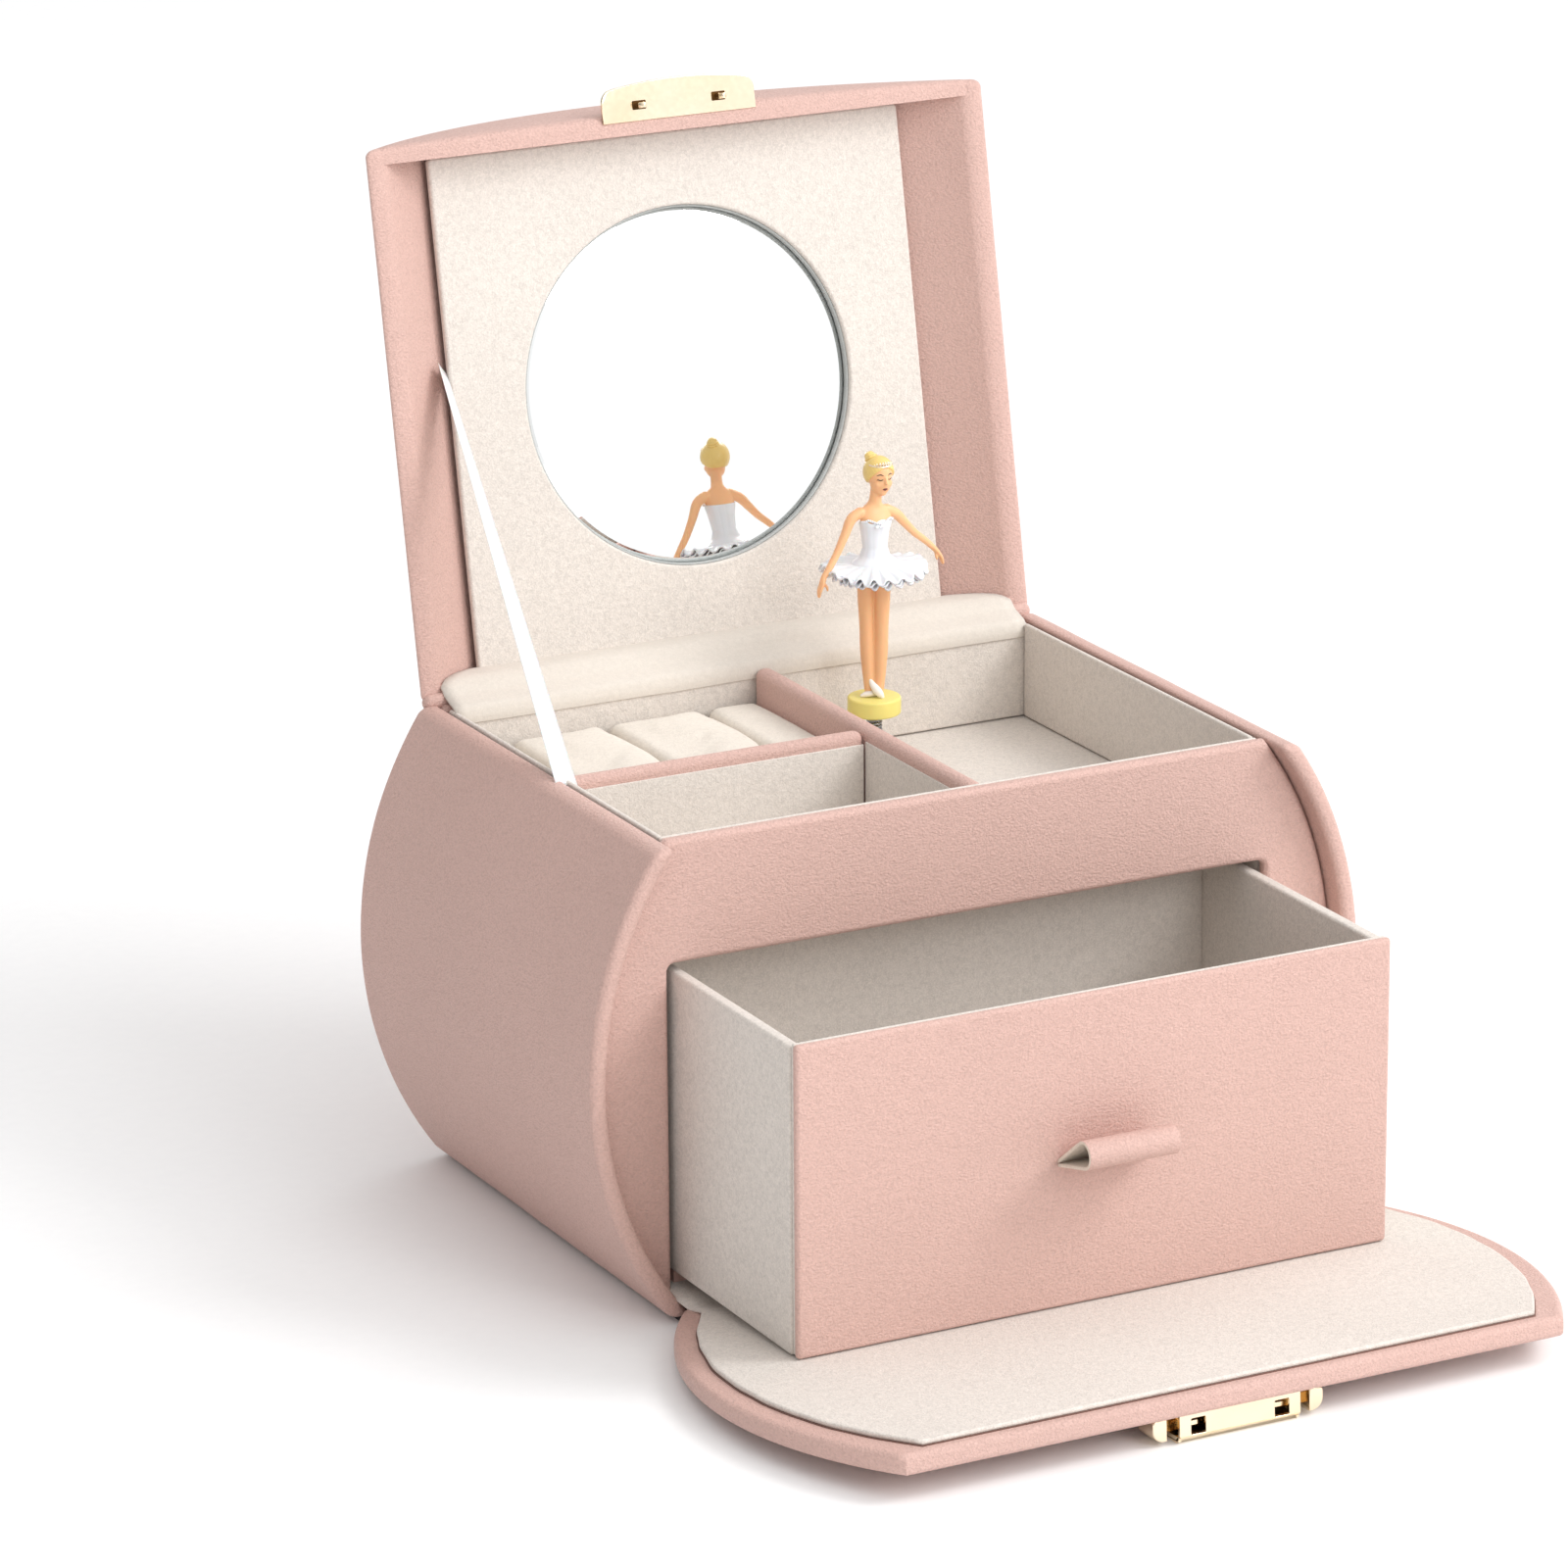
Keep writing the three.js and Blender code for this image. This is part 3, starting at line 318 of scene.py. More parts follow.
def mirror_glass(name):
    """A silvered mirror, clean but for a trace of haze."""
    paint = Shader(name, 0.02, metallic=1.0)
    haze = paint.noise(30, detail=3.0)
    paint.colour(paint.blend(paint.ramp(haze, 0.3, 0.7), srgb(247, 249, 249), srgb(252, 253, 253)))
    paint.rough(paint.ramp(haze, 0.35, 0.8, 0.015, 0.03))
    return paint.material


LEATHER = leatherette("leatherette")
SMOOTH_LEATHER = leatherette("leatherette_smooth", grain=0.45)
VELVET = velvet("cream_velvet")
IVORY = velvet("ivory_microfibre", tint=srgb(227, 219, 208), pile=0.55)
CLOTH = velvet("hinge_cloth", tint=srgb(217, 209, 199), pile=0.4)
SUEDE = velvet("tab_suede", tint=srgb(226, 217, 203), pile=0.8)
FELT = velvet("base_felt", tint=srgb(44, 41, 40))
SATIN = woven_satin("ribbon_satin")
CARD = board_card("pressed_board", srgb(196, 172, 138))
GREY_EDGE = board_card("window_edge_card", srgb(184, 187, 185))
MIRROR = mirror_glass("mirror_silver")
GOLD = metal("pale_gold_plate", srgb(254, 239, 214), srgb(250, 230, 198), 0.16)
DARK_GOLD = metal("inner_gold", srgb(214, 168, 96), srgb(176, 128, 66), 0.25)
BRASS = metal("brass", srgb(214, 178, 108), srgb(196, 156, 84), 0.3, brushed=(1, 1, 6))
STEEL = metal("spring_steel", srgb(190, 192, 196), srgb(150, 152, 156), 0.3)
FLESH = moulded("figure_flesh", srgb(243, 188, 139), 0.42, glow=0.25)
WHITE = moulded("figure_white", srgb(230, 232, 236), 0.38, glow=0.1, coat=0.15)
SHOE = moulded("figure_shoe", srgb(244, 236, 228), 0.4)
YELLOW = moulded("figure_base_yellow", srgb(236, 221, 128), 0.4, glow=0.15)
HAIR = moulded("figure_hair", srgb(232, 200, 120), 0.36, coat=0.2)
INK = moulded("figure_ink", srgb(66, 40, 34), 0.45)
# painted shadow for the gap under the flap lining's edge
SEAM_SHADOW_PAINT = velvet("seam_shadow", tint=srgb(120, 88, 78), pile=0.4)
# painted shadow: dark metal standing for the shade inside the hook holes and the clasp's holes
HOLE_SHADOW = metal("punched_shadow", srgb(96, 66, 34), srgb(58, 38, 20), 0.4)
LIP = moulded("figure_lip", srgb(112, 52, 46), 0.4)


# ---------------------------------------------------------------- mesh building

class Form:
    """Points in millimetres and faces with a material number, gathered before they become a piece."""

    def __init__(self):
        self.points = []
        self.faces = []
        self.kinds = []

    def add(self, points, faces, kind=0):
        start = len(self.points)
        self.points.extend(Vector(p) for p in points)
        self.faces.extend([start + i for i in face] for face in faces)
        self.kinds.extend([kind] * len(faces))
        return self

    def join(self, other, kind=0):
        return self.add(other.points, other.faces, kind)

    def stitch(self, a, b, sheet):
        """A quad between two points of one sheet and those of the next, sheet points further on."""
        self.faces.append([a, b, sheet + b, sheet + a])
        self.kinds.append(0)

    def moved(self, matrix):
        self.points = [matrix @ p for p in self.points]
        return self

    def piece(self, name, *materials, crisp=None):
        """The finished object. crisp is an angle in degrees past which an edge stays sharp."""
        mesh = bpy.data.meshes.new(name)
        mesh.from_pydata([p * MM for p in self.points], [], self.faces)
        for material in materials:
            mesh.materials.append(material)
        mesh.polygons.foreach_set("material_index", self.kinds)
        tidy = bmesh.new()
        tidy.from_mesh(mesh)
        bmesh.ops.remove_doubles(tidy, verts=tidy.verts, dist=1e-7)
        bmesh.ops.recalc_face_normals(tidy, faces=tidy.faces)
        tidy.to_mesh(mesh)
        tidy.free()
        mesh.shade_smooth()
        if crisp is not None:
            mesh.set_sharp_from_angle(angle=math.radians(crisp))
        made = bpy.data.objects.new(name, mesh)
        bpy.context.scene.collection.objects.link(made)
        return made


def grid_faces(rows, columns, around=False):
    """Quads over rows of points. around joins the last column to the first."""
    faces = []
    for i in range(rows - 1):
        row = i * columns
        below = row + columns
        for j in range(columns if around else columns - 1):
            right = (j + 1) % columns
            faces.append([row + j, row + right, below + right, below + j])
    return faces


def side_marks(half, radius, steps, corner):
    """Places along one side of a rounded block: rounding steps at both ends, even steps between."""
    inner = half - radius
    ends = [inner + radius * math.tan(math.radians(45 * i / corner)) for i in range(1, corner + 1)]
    middle = [inner * (2 * i / steps - 1) for i in range(steps + 1)]
    return [-e for e in reversed(ends)] + middle + ends


def rounded_block(half, radius, steps, place, corner=3, kind=None):
    """A block with rounded edges, about the origin, each of whose points is then put in place.

    kind, if given, turns a face's axis and side into its material number.
    """
    form = Form()
    marks = [side_marks(h, radius, n, corner) for h, n in zip(half, steps)]
    found = {}
    points = []

    def number(p):
        key = tuple(round(c, 5) for c in p)
        if key not in found:
            found[key] = len(points)
            core = [max(-(h - radius), min(h - radius, c)) for c, h in zip(p, half)]
            out = Vector(p) - Vector(core)
            points.append(Vector(core) + (out.normalized() * radius if out.length > 1e-9 else out))
        return found[key]

    faces = []
    kinds = []
    for axis, (u, v) in enumerate(((1, 2), (2, 0), (0, 1))):
        for side in (-1, 1):
            for i in range(len(marks[u]) - 1):
                for j in range(len(marks[v]) - 1):
                    face = []
                    for a, b in ((i, j), (i + 1, j), (i + 1, j + 1), (i, j + 1)):
                        p = [0.0, 0.0, 0.0]
                        p[axis] = side * half[axis]
                        p[u] = marks[u][a]
                        p[v] = marks[v][b]
                        face.append(number(p))
                    faces.append(face)
                    kinds.append(kind(axis, side) if kind else 0)
    form.add([place(p) for p in points], faces)
    form.kinds = kinds
    return form


def block_between(low, high, radius, steps, roundest=0.95):
    """A block between two corners; its edges' radius is at most that share of its thinnest half."""
    half = [(b - a) / 2 for a, b in zip(low, high)]
    centre = [(b + a) / 2 for a, b in zip(low, high)]

    def place(p):
        return tuple(c + q for c, q in zip(centre, p))

    return rounded_block(half, min(radius, min(half) * roundest), steps, place)


def inset_outline(points, distance):
    """A closed outline with its sides moved to their left, corners mitred."""
    moved = []
    count = len(points)
    for i, (x, y) in enumerate(points):
        before = points[i - 1]
        after = points[(i + 1) % count]
        first = Vector((x - before[0], y - before[1])).normalized()
        second = Vector((after[0] - x, after[1] - y)).normalized()
        left = Vector((-first.y - second.y, first.x + second.x))
        scale = 1 + first.dot(second)
        moved.append((x + distance * left.x / scale, y + distance * left.y / scale))
    return moved


def rounded_plate(outer, low, high, radius, place, holes=(), corner=3):
    """A plate with rounded edges, from an anticlockwise outline and clockwise holes.

    place puts each (u, v, w) of the plate where it belongs.
    """
    form = Form()
    rim = []
    for i in range(corner + 1):
        angle = math.radians(90 * i / corner)
        rim.append((radius * (1 - math.sin(angle)), low + radius * (1 - math.cos(angle))))
    rim += [(inset, low + high - w) for inset, w in reversed(rim)]
    for outline in (outer, *holes):
        loops = []
        for inset, w in rim:
            loops += [place((u, v, w)) for u, v in inset_outline(outline, inset)]
        form.add(loops, grid_faces(len(rim), len(outline), around=True))
    for w in (low, high):
        cap = bmesh.new()
        for outline in (outer, *holes):
            corners = [cap.verts.new((u, v, 0)) for u, v in inset_outline(outline, radius)]
            for a, b in zip(corners, corners[1:] + corners[:1]):
                cap.edges.new((a, b))
        bmesh.ops.triangle_fill(cap, edges=cap.edges[:], use_beauty=True)
        cap.verts.index_update()
        points = [place((v.co.x, v.co.y, w)) for v in cap.verts]
        form.add(points, [[v.index for v in face.verts] for face in cap.faces])
        cap.free()
    return form


def arc(u, v, radius, start, end, steps):
    """Points on part of a circle, between two angles in degrees."""
    angles = [math.radians(start + (end - start) * i / steps) for i in range(steps + 1)]
    return [(u + radius * math.cos(a), v + radius * math.sin(a)) for a in angles]


def ring_hole(u, v, radius, steps=96):
    """A clockwise circle, for a hole in a plate."""
    return arc(u, v, radius, 360, 360 / steps, steps - 1)


def box_outline(left, right, low, high, radius=0.0, steps=5):
    """An anticlockwise rectangle, with round corners if it has a radius."""
    if radius == 0:
        return [(left, low), (right, low), (right, high), (left, high)]
    points = []
    for u, v, start in (
        (right - radius, low + radius, -90),
        (right - radius, high - radius, 0),
        (left + radius, high - radius, 90),
        (left + radius, low + radius, 180),
    ):
        points += arc(u, v, radius, start, start + 90, steps)
    return points


def spline(knots, per_span):
    """A smooth line through knots, which may carry further values after their three coordinates."""
    line = []
    count = len(knots)
    for i in range(count - 1):
        before = knots[max(0, i - 1)]
        start = knots[i]
        end = knots[i + 1]
        after = knots[min(count - 1, i + 2)]
        for k in range(per_span):
            t = k / per_span
            line.append([
                0.5 * (2 * b + (c - a) * t + (2 * a - 5 * b + 4 * c - d) * t * t
                       + (3 * b - a - 3 * c + d) * t ** 3)
                for a, b, c, d in zip(before, start, end, after)
            ])
    line.append(list(knots[-1]))
    return line


def tube(form, line, sides=16, first=Vector((1, 0, 0))):
    """A rod along a line of (x, y, z, radius), or (x, y, z, radius along first, other radius)."""
    points = [Vector(p[:3]) for p in line]
    across = first.copy()
    rings = []
    for i, centre in enumerate(points):
        ahead = points[min(i + 1, len(points) - 1)] - points[max(i - 1, 0)]
        ahead.normalize()
        across = (across - ahead * across.dot(ahead)).normalized()
        other = ahead.cross(across)
        wide = line[i][3]
        deep = line[i][4] if len(line[i]) > 4 else wide
        for k in range(sides):
            turn = 2 * math.pi * k / sides
            rings.append(centre + across * wide * math.cos(turn) + other * deep * math.sin(turn))
    faces = grid_faces(len(points), sides, around=True)
    faces.append(list(range(sides))[::-1])
    faces.append([(len(points) - 1) * sides + k for k in range(sides)])
    return form.add(rings, faces)


def rounded_rod(form, line, sides=16, first=Vector((1, 0, 0)), dome=4):
    """A tube whose two ends are domed."""
    def cap(end, inner):
        tip = Vector(end[:3])
        away = (tip - Vector(inner[:3])).normalized()
        rings = []
        for i in range(1, dome + 1):
            angle = math.radians(88 * i / dome)
            place = tip + away * end[3] * math.sin(angle)
            rings.append([*place, *(r * math.cos(angle) for r in end[3:])])
        return rings

    full = list(reversed(cap(line[0], line[1]))) + [list(p) for p in line] + cap(line[-1], line[-2])
    return tube(form, full, sides, first)


def lathe(form, profile, steps=48, centre=(0, 0, 0)):
    """A profile of (radius, height) turned about a vertical axis; ends on the axis close it."""
    x, y, z = centre
    points = []
    for radius, height in profile:
        for k in range(steps):
            turn = 2 * math.pi * k / steps
            reach = max(radius, 1e-4)
            points.append((x + reach * math.cos(turn), y + reach * math.sin(turn), z + height))
    return form.add(points, grid_faces(len(profile), steps, around=True))


def ball(form, centre, radii, steps=24, turn=Matrix.Identity(3)):
    """An ellipsoid."""
    rows = steps // 2
    points = []
    for i in range(rows + 1):
        polar = math.pi * min(max(i / rows, 0.002), 0.998)
        around = math.sin(polar)
        for k in range(steps):
            spin = 2 * math.pi * k / steps
            unit = Vector((around * math.cos(spin), around * math.sin(spin), math.cos(polar)))
            points.append(Vector(centre) + turn @ Vector(u * r for u, r in zip(unit, radii)))
    faces = grid_faces(rows + 1, steps, around=True)
    faces.append(list(range(steps)))
    faces.append([rows * steps + k for k in range(steps)])
    return form.add(points, faces)


def ripple(p, size, depth):
    """A gentle unevenness at a point, for hand-wrapped or stuffed surfaces."""
    return depth * noise.noise(Vector(p) / size)


def smooth_step(value):
    share = min(max(value, 0.0), 1.0)
    return share * share * (3 - 2 * share)


def weighted(piece):
    """Flat faces keep flat shading beside their rounded edges."""
    piece.modifiers.new("even_normals", "WEIGHTED_NORMAL").keep_sharp = True
    return piece


def dress(node, material, edge=0.0):
    """Gives a CAD node its finish and, where edge is set, rounded edges."""
    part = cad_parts[node]
    part.data.materials.clear()
    part.data.materials.append(material)
    part.data.shade_smooth()
    part.data.set_sharp_from_angle(angle=math.radians(32))
    if edge:
        bevel = part.modifiers.new("soft_edges", "BEVEL")
        bevel.width = edge * MM
        bevel.segments = 3
        bevel.limit_method = "ANGLE"
        bevel.angle_limit = math.radians(35)
        bevel.harden_normals = True
    return part


def finish_piece(piece, body, slot, *nodes):
    """Rides on a body and stands for its CAD nodes, which it hides; the slot argument is not used."""
    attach(piece, body)
    if nodes:
        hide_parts(*nodes)
    return piece


def thickened(piece, thickness, offset=0.0):
    """Gives a sheet its thickness, about its own surface or to one side, and smooth shading."""
    thick = piece.modifiers.new("thickness", "SOLIDIFY")
    thick.thickness = thickness * MM
    thick.offset = offset
    baked(piece).data.shade_smooth()
    return piece


def baked(piece):
    """Applies the piece's modifiers to its mesh."""
    graph = bpy.context.evaluated_depsgraph_get()
    mesh = bpy.data.meshes.new_from_object(piece.evaluated_get(graph))
    piece.modifiers.clear()
    old = piece.data
    piece.data = mesh
    bpy.data.meshes.remove(old)
    return piece


# ---------------------------------------------------------------- camera, floor and light

CAMERA_PLACE = (-702.2, -1318.7, 567.6)
CAMERA_YAW = 27.44  # degrees to the right of straight at the front
CAMERA_PITCH = 17.67
CAMERA_ROLL = -0.42
CAMERA_LENS = 165.67
LIGHT_FROM = Vector((0.62, -0.34, 0.71))


def add_camera():
    lens = bpy.data.cameras.new("view")
    lens.lens = CAMERA_LENS
    lens.sensor_width = 36.0
    lens.clip_start = 0.05
    lens.clip_end = 20.0
    camera = bpy.data.objects.new("view", lens)
    camera.matrix_world = (
        Matrix.Translation(Vector(CAMERA_PLACE) * MM)
        @ Matrix.Rotation(math.radians(-CAMERA_YAW), 4, "Z")
        @ Matrix.Rotation(math.radians(90 - CAMERA_PITCH), 4, "X")
        @ Matrix.Rotation(math.radians(CAMERA_ROLL), 4, "Z")
    )
    bpy.context.scene.collection.objects.link(camera)
    bpy.context.scene.camera = camera


def add_world():
    """A white studio that is brighter towards the key light."""
    world = bpy.data.worlds.new("studio")
    bpy.context.scene.world = world
    world.use_nodes = True
    tree = world.node_tree
    place = tree.nodes.new("ShaderNodeTexCoord")
    facing = tree.nodes.new("ShaderNodeVectorMath")
    facing.operation = "DOT_PRODUCT"
    facing.inputs[1].default_value = LIGHT_FROM
    spread = tree.nodes.new("ShaderNodeMapRange")
    for key, number in (("From Min", -1.0), ("From Max", 1.0), ("To Min", 0.02), ("To Max", 1.32)):
        spread.inputs[key].default_value = number
    tree.links.new(place.outputs["Generated"], facing.inputs[0])
    tree.links.new(facing.outputs["Value"], spread.inputs["Value"])
    tree.links.new(spread.outputs["Result"], tree.nodes["Background"].inputs["Strength"])
    tree.nodes["Background"].inputs["Color"].default_value = (1.0, 1.0, 1.0, 1.0)


def add_area_light(name, place, target, size, watts):
    light = bpy.data.lights.new(name, "AREA")
    light.shape = "DISK"
    light.size = size
    light.energy = watts
    lamp = bpy.data.objects.new(name, light)
    lamp.location = place
    lamp.rotation_euler = (Vector(target) - Vector(place)).to_track_quat("-Z", "Y").to_euler()
    bpy.context.scene.collection.objects.link(lamp)


def add_floor():
    reach = 7000.0
    floor = Form().add(
        [(-reach, -reach, 0), (reach, -reach, 0), (reach, reach, 0), (-reach, reach, 0)],
        [[0, 1, 2, 3]],
    ).piece("studio_floor", floor_paper("pale_paper"))


def floor_paper(name):
    paint = Shader(name, 0.8)
    fibres = paint.noise(300, detail=2.0)
    paint.colour(paint.blend(fibres, (0.93, 0.93, 0.935, 1.0), (0.97, 0.97, 0.97, 1.0)))
    paint.set(Specular_IOR_Level=0.15)
    return paint.material


def build_stage():
    add_camera()
    add_world()
    add_area_light("key", (0.95, -0.75, 1.15), (0.0, -0.04, 0.08), 0.7, 10.0)
    add_area_light("front_fill", (0.3, -1.4, 0.85), (0.0, -0.04, 0.08), 0.7, 5.2)
    add_floor()
    bpy.context.scene.view_settings.view_transform = "Standard"


# ---------------------------------------------------------------- outlines of the case and the lid

def upright(p):
    """An outline in X and Z, with its thickness along Y."""
    return Vector((p[0], p[2], p[1]))


def sideways(p):
    """An outline in Y and Z, with its thickness along X."""
    return Vector((p[2], p[0], p[1]))


def level(p):
    return Vector(p)


def bow(z, inset=0.0):
    """Half width of the bowed case at a height, that far inside its outer face."""
    return BOW_X + math.sqrt((BOW_RADIUS - inset) ** 2 - (z - BOW_Z) ** 2)


def bow_side(low, high, inset):
    """Points up the right side of the bowed case."""
    steps = 40
    heights = [low + (high - low) * i / steps for i in range(steps + 1)]
    return [(bow(z, inset), z) for z in heights]


def mirrored(points):
    return [(-u, v) for u, v in reversed(points)]


def arch_radius(half, rise):
    return (half * half + rise * rise) / (2 * rise)


def arch_point(half, rise, share):
    """A point on an arch over the rim plane, from -1 at its left foot to 1 at its right."""
    radius = arch_radius(half, rise)
    angle = math.asin(half / radius) * share
    return radius * math.sin(angle), radius * math.cos(angle) - (radius - rise)


# ---------------------------------------------------------------- case

SEAM = 0.3  # the gap between neighbouring boards


def side_board(name, side, node):
    middle = (CASE_TOP + CASE_LOW) / 2
    half = ((CASE_TOP - CASE_LOW) / 2, HALF_DEPTH, SIDE_BOARD / 2)

    def place(p):
        z = middle + p[0]
        inset = SIDE_BOARD / 2 - p[2]
        loose = ripple((z, p[1], side * 40), 16, 0.1) if p[2] > 0 else 0.0
        return (side * bow(z, inset + loose), p[1], z)

    board = rounded_block(half, 1.6, (48, 44, 2), place, corner=4).piece(name, LEATHER)
    finish_piece(weighted(board), "case", "leatherette", node)


def front_board():
    low = FRONT_LOW.z
    right = []
    for x, z in bow_side(low, CASE_TOP, SIDE_BOARD + 0.25):
        tucked = 2.8 * (1 - smooth_step((z - 12) / 16))  # its feet are tucked into the side boards
        right.append((x + tucked, z))
    corner_x = OPENING_HALF - OPENING_RADIUS
    corner_z = OPENING_TOP - OPENING_RADIUS
    opening = [(-OPENING_HALF, low)]
    opening += arc(-corner_x, corner_z, OPENING_RADIUS, 180, 90, 10)
    opening += arc(corner_x, corner_z, OPENING_RADIUS, 90, 0, 10)
    opening += [(OPENING_HALF, low)]
    outline = right + mirrored(right) + opening
    form = rounded_plate(outline, FRONT_LOW.y, FRONT_HIGH.y, 1.4, upright, corner=4)
    board = form.piece("front_panel_leather", LEATHER)
    finish_piece(weighted(board), "case", "leatherette", "front_board")


def back_board():
    right = bow_side(CASE_LOW, CASE_TOP, SIDE_BOARD + SEAM)
    outline = right + mirrored(right)
    arbor_low, arbor_high = span("winding_arbor")
    key_x = SPINDLE.x
    key_z = (arbor_low.z + arbor_high.z) / 2
    hole = ring_hole(key_x, key_z, 4.5, 48)
    form = rounded_plate(outline, BACK_LOW.y, BACK_HIGH.y, 1.4, upright, holes=[hole], corner=4)
    board = form.piece("back_panel_leather", LEATHER)
    finish_piece(weighted(board), "case", "leatherette", "back_board")
    ring = Form()
    profile = [
        (4.1, -1.0), (5.6, 0.15), (6.3, 0.1), (6.5, 0.45),
        (6.0, 0.75), (5.0, 0.85), (4.2, 0.6), (3.7, -0.2),
    ]
    lathe(ring, profile + profile[:1], 56)
    ring.moved(Matrix.Translation(Vector((key_x, BACK_HIGH.y, key_z))) @ TO_BACK)
    finish_piece(ring.piece("key_eyelet", GOLD), "case", "gold")


def divider(node, radius, steps, way, seed):
    """A padded bar between two compartments; its sides, across way, are a little uneven."""
    low, high = span(node)
    centre = (high + low) / 2

    def place(p):
        point = [c + q for c, q in zip(centre, p)]
        point[way] += ripple((p[1 - way], p[2], seed), 9, 0.06)
        return point

    bar = rounded_block(tuple((high - low) / 2), radius, steps, place, corner=5)
    finish_piece(bar.piece(f"{node}_leather", LEATHER), "case", "leatherette", node)
    return low, high


def tray_dividers():
    low, high = divider("long_divider", 2.0, (1, 40, 8), 0, 3)
    cross_low, cross_high = divider("cross_divider", 1.9, (50, 1, 8), 1, 8)
    below = 2.6  # the facings stop this far under the dividers' round tops
    proud = 0.35
    sunk = 0.1
    top = high.z - below
    facings = (
        ("divider_facing_left", (low.x - proud, low.x + sunk), (low.y + 0.2, cross_low.y - 0.1), top),
        ("divider_facing_right", (high.x - sunk, high.x + proud), (low.y + 0.2, high.y - 0.2), top),
        (
            "cross_facing", (cross_low.x, cross_high.x - 0.4),
            (cross_low.y - proud, cross_low.y + sunk), cross_high.z - below,
        ),
    )
    for name, (left, right), (front, back), height in facings:
        velvet_slab(name, (left, front, low.z), (right, back, height))


def velvet_slab(name, low, high, radius=0.2, body="case"):
    """A thin lining board with soft edges between two corners."""
    steps = tuple(max(1, round((b - a) / 5)) for a, b in zip(low, high))
    return finish_piece(block_between(low, high, radius, steps).piece(name, VELVET), body, "velvet")


def tray_liners():
    for side in ("left", "right", "front", "rear"):
        low, high = span(f"tray_liner_{side}")
        slab = velvet_slab(f"tray_lining_{side}", low, high, radius=0.55)
        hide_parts(f"tray_liner_{side}")


# ---------------------------------------------------------------- ring rolls, puffed by cloth simulation

SIM_SCALE = 20.0  # the rolls are simulated at a size where cloth settings behave as usual


def inflated(points, faces, pinned, pressure, frames, cap):
    """Points after a closed cloth has been blown up a little, none moved further than cap."""
    mesh = bpy.data.meshes.new("sim")
    mesh.from_pydata([p * MM * SIM_SCALE for p in points], [], faces)
    cloth_object = bpy.data.objects.new("sim", mesh)
    bpy.context.scene.collection.objects.link(cloth_object)
    held = cloth_object.vertex_groups.new(name="held")
    held.add(pinned, 1.0, "REPLACE")
    cloth = cloth_object.modifiers.new("cloth", "CLOTH")
    cloth.settings.use_pressure = True
    cloth.settings.uniform_pressure_force = pressure
    cloth.settings.vertex_group_mass = "held"
    cloth.settings.effector_weights.gravity = 0.0
    cloth.settings.quality = 5
    cloth.settings.tension_stiffness = 12.0
    cloth.settings.compression_stiffness = 12.0
    cloth.settings.bending_stiffness = 2.0
    cloth.collision_settings.use_self_collision = False
    cloth.point_cache.frame_start = 1
    cloth.point_cache.frame_end = frames
    scene = bpy.context.scene
    for number in range(1, frames + 1):
        scene.frame_set(number)
    graph = bpy.context.evaluated_depsgraph_get()
    done = cloth_object.evaluated_get(graph).to_mesh()
    moved = []
    for start, vertex in zip(points, done.vertices):
        shift = vertex.co / (MM * SIM_SCALE) - start
        length = shift.length
        moved.append(start + shift * (min(1.0, cap / length) if length > 0 else 1.0))
    bpy.data.objects.remove(cloth_object)
    scene.frame_set(1)
    return moved


def ring_roll(index):
    """A padded bar of the ring cushion; rings are pushed into the slits between the bars."""
    node = f"ring_roll_{index}"
    low, high = span(node)
    crown = 0.9
    half = ((high.x - low.x) / 2, (high.y - low.y) / 2, (high.z - low.z - crown) / 2)
    centre = (low + high) / 2 - Vector((0, 0, crown / 2))
    radius = min(2.6, half[0] * 0.6)
    steps = tuple(max(2, round(2 * h / 1.5)) for h in half)
    form = rounded_block(half, radius, steps, lambda p: centre + Vector(p), corner=4)
    floor = low.z + 3.0
    pinned = [i for i, p in enumerate(form.points) if p.z < floor]
    moved = inflated(form.points, form.faces, pinned, 4.0, 20, 1.1)
    side_room = 0.42
    settled = []
    for start, p in zip(form.points, moved):
        p.x = min(max(p.x, low.x - side_room), high.x + side_room)
        p.y = min(max(p.y, low.y - 0.1), high.y + 0.1)
        p.z = max(p.z, low.z)
        crease = ripple((start.x * 1.5, start.y * 0.6, index * 9), 5, 0.1) if start.z > centre.z else 0.0
        settled.append(p + Vector((0, 0, crease)))
    form.points = settled
    roll = form.piece(f"ring_cushion_{index}", IVORY)
    roll.modifiers.new("fine", "SUBSURF").render_levels = 1
    roll.modifiers["fine"].levels = 1
    baked(roll).data.shade_smooth()
    finish_piece(roll, "case", "ivory_velvet", node)


# ---------------------------------------------------------------- cloth and ribbon

def cloth_band(name, line, half_width, thickness, material):
    """A strip of cloth that follows a line of (y, z) and is as wide as half_width says along it."""
    across = 48
    path = spline([(0.0, y, z) for y, z in line], 8)
    rows = []
    for _, y, z in path:
        half = half_width(y, z)
        for j in range(across + 1):
            x = half * (2 * j / across - 1)
            rows.append((x, y, z + ripple((x, y, z), 11, 0.12)))
    form = Form().add(rows, grid_faces(len(path), across + 1))
    band = thickened(form.piece(name, material), thickness)
    length = sum(math.dist(a, b) for a, b in zip(path, path[1:]))
    widest = 2 * max(half_width(y, z) for _, y, z in path)
    area = sum(
        math.dist(a, b) * (half_width(a[1], a[2]) + half_width(b[1], b[2]))
        for a, b in zip(path, path[1:])
    )
    return band, (widest * MM, length * MM), area * MM * MM


def lid_depth(y, z):
    """How far a point lies inside the lid's rim plane."""
    return (TO_LID.inverted() @ Vector((0.0, y, z))).z


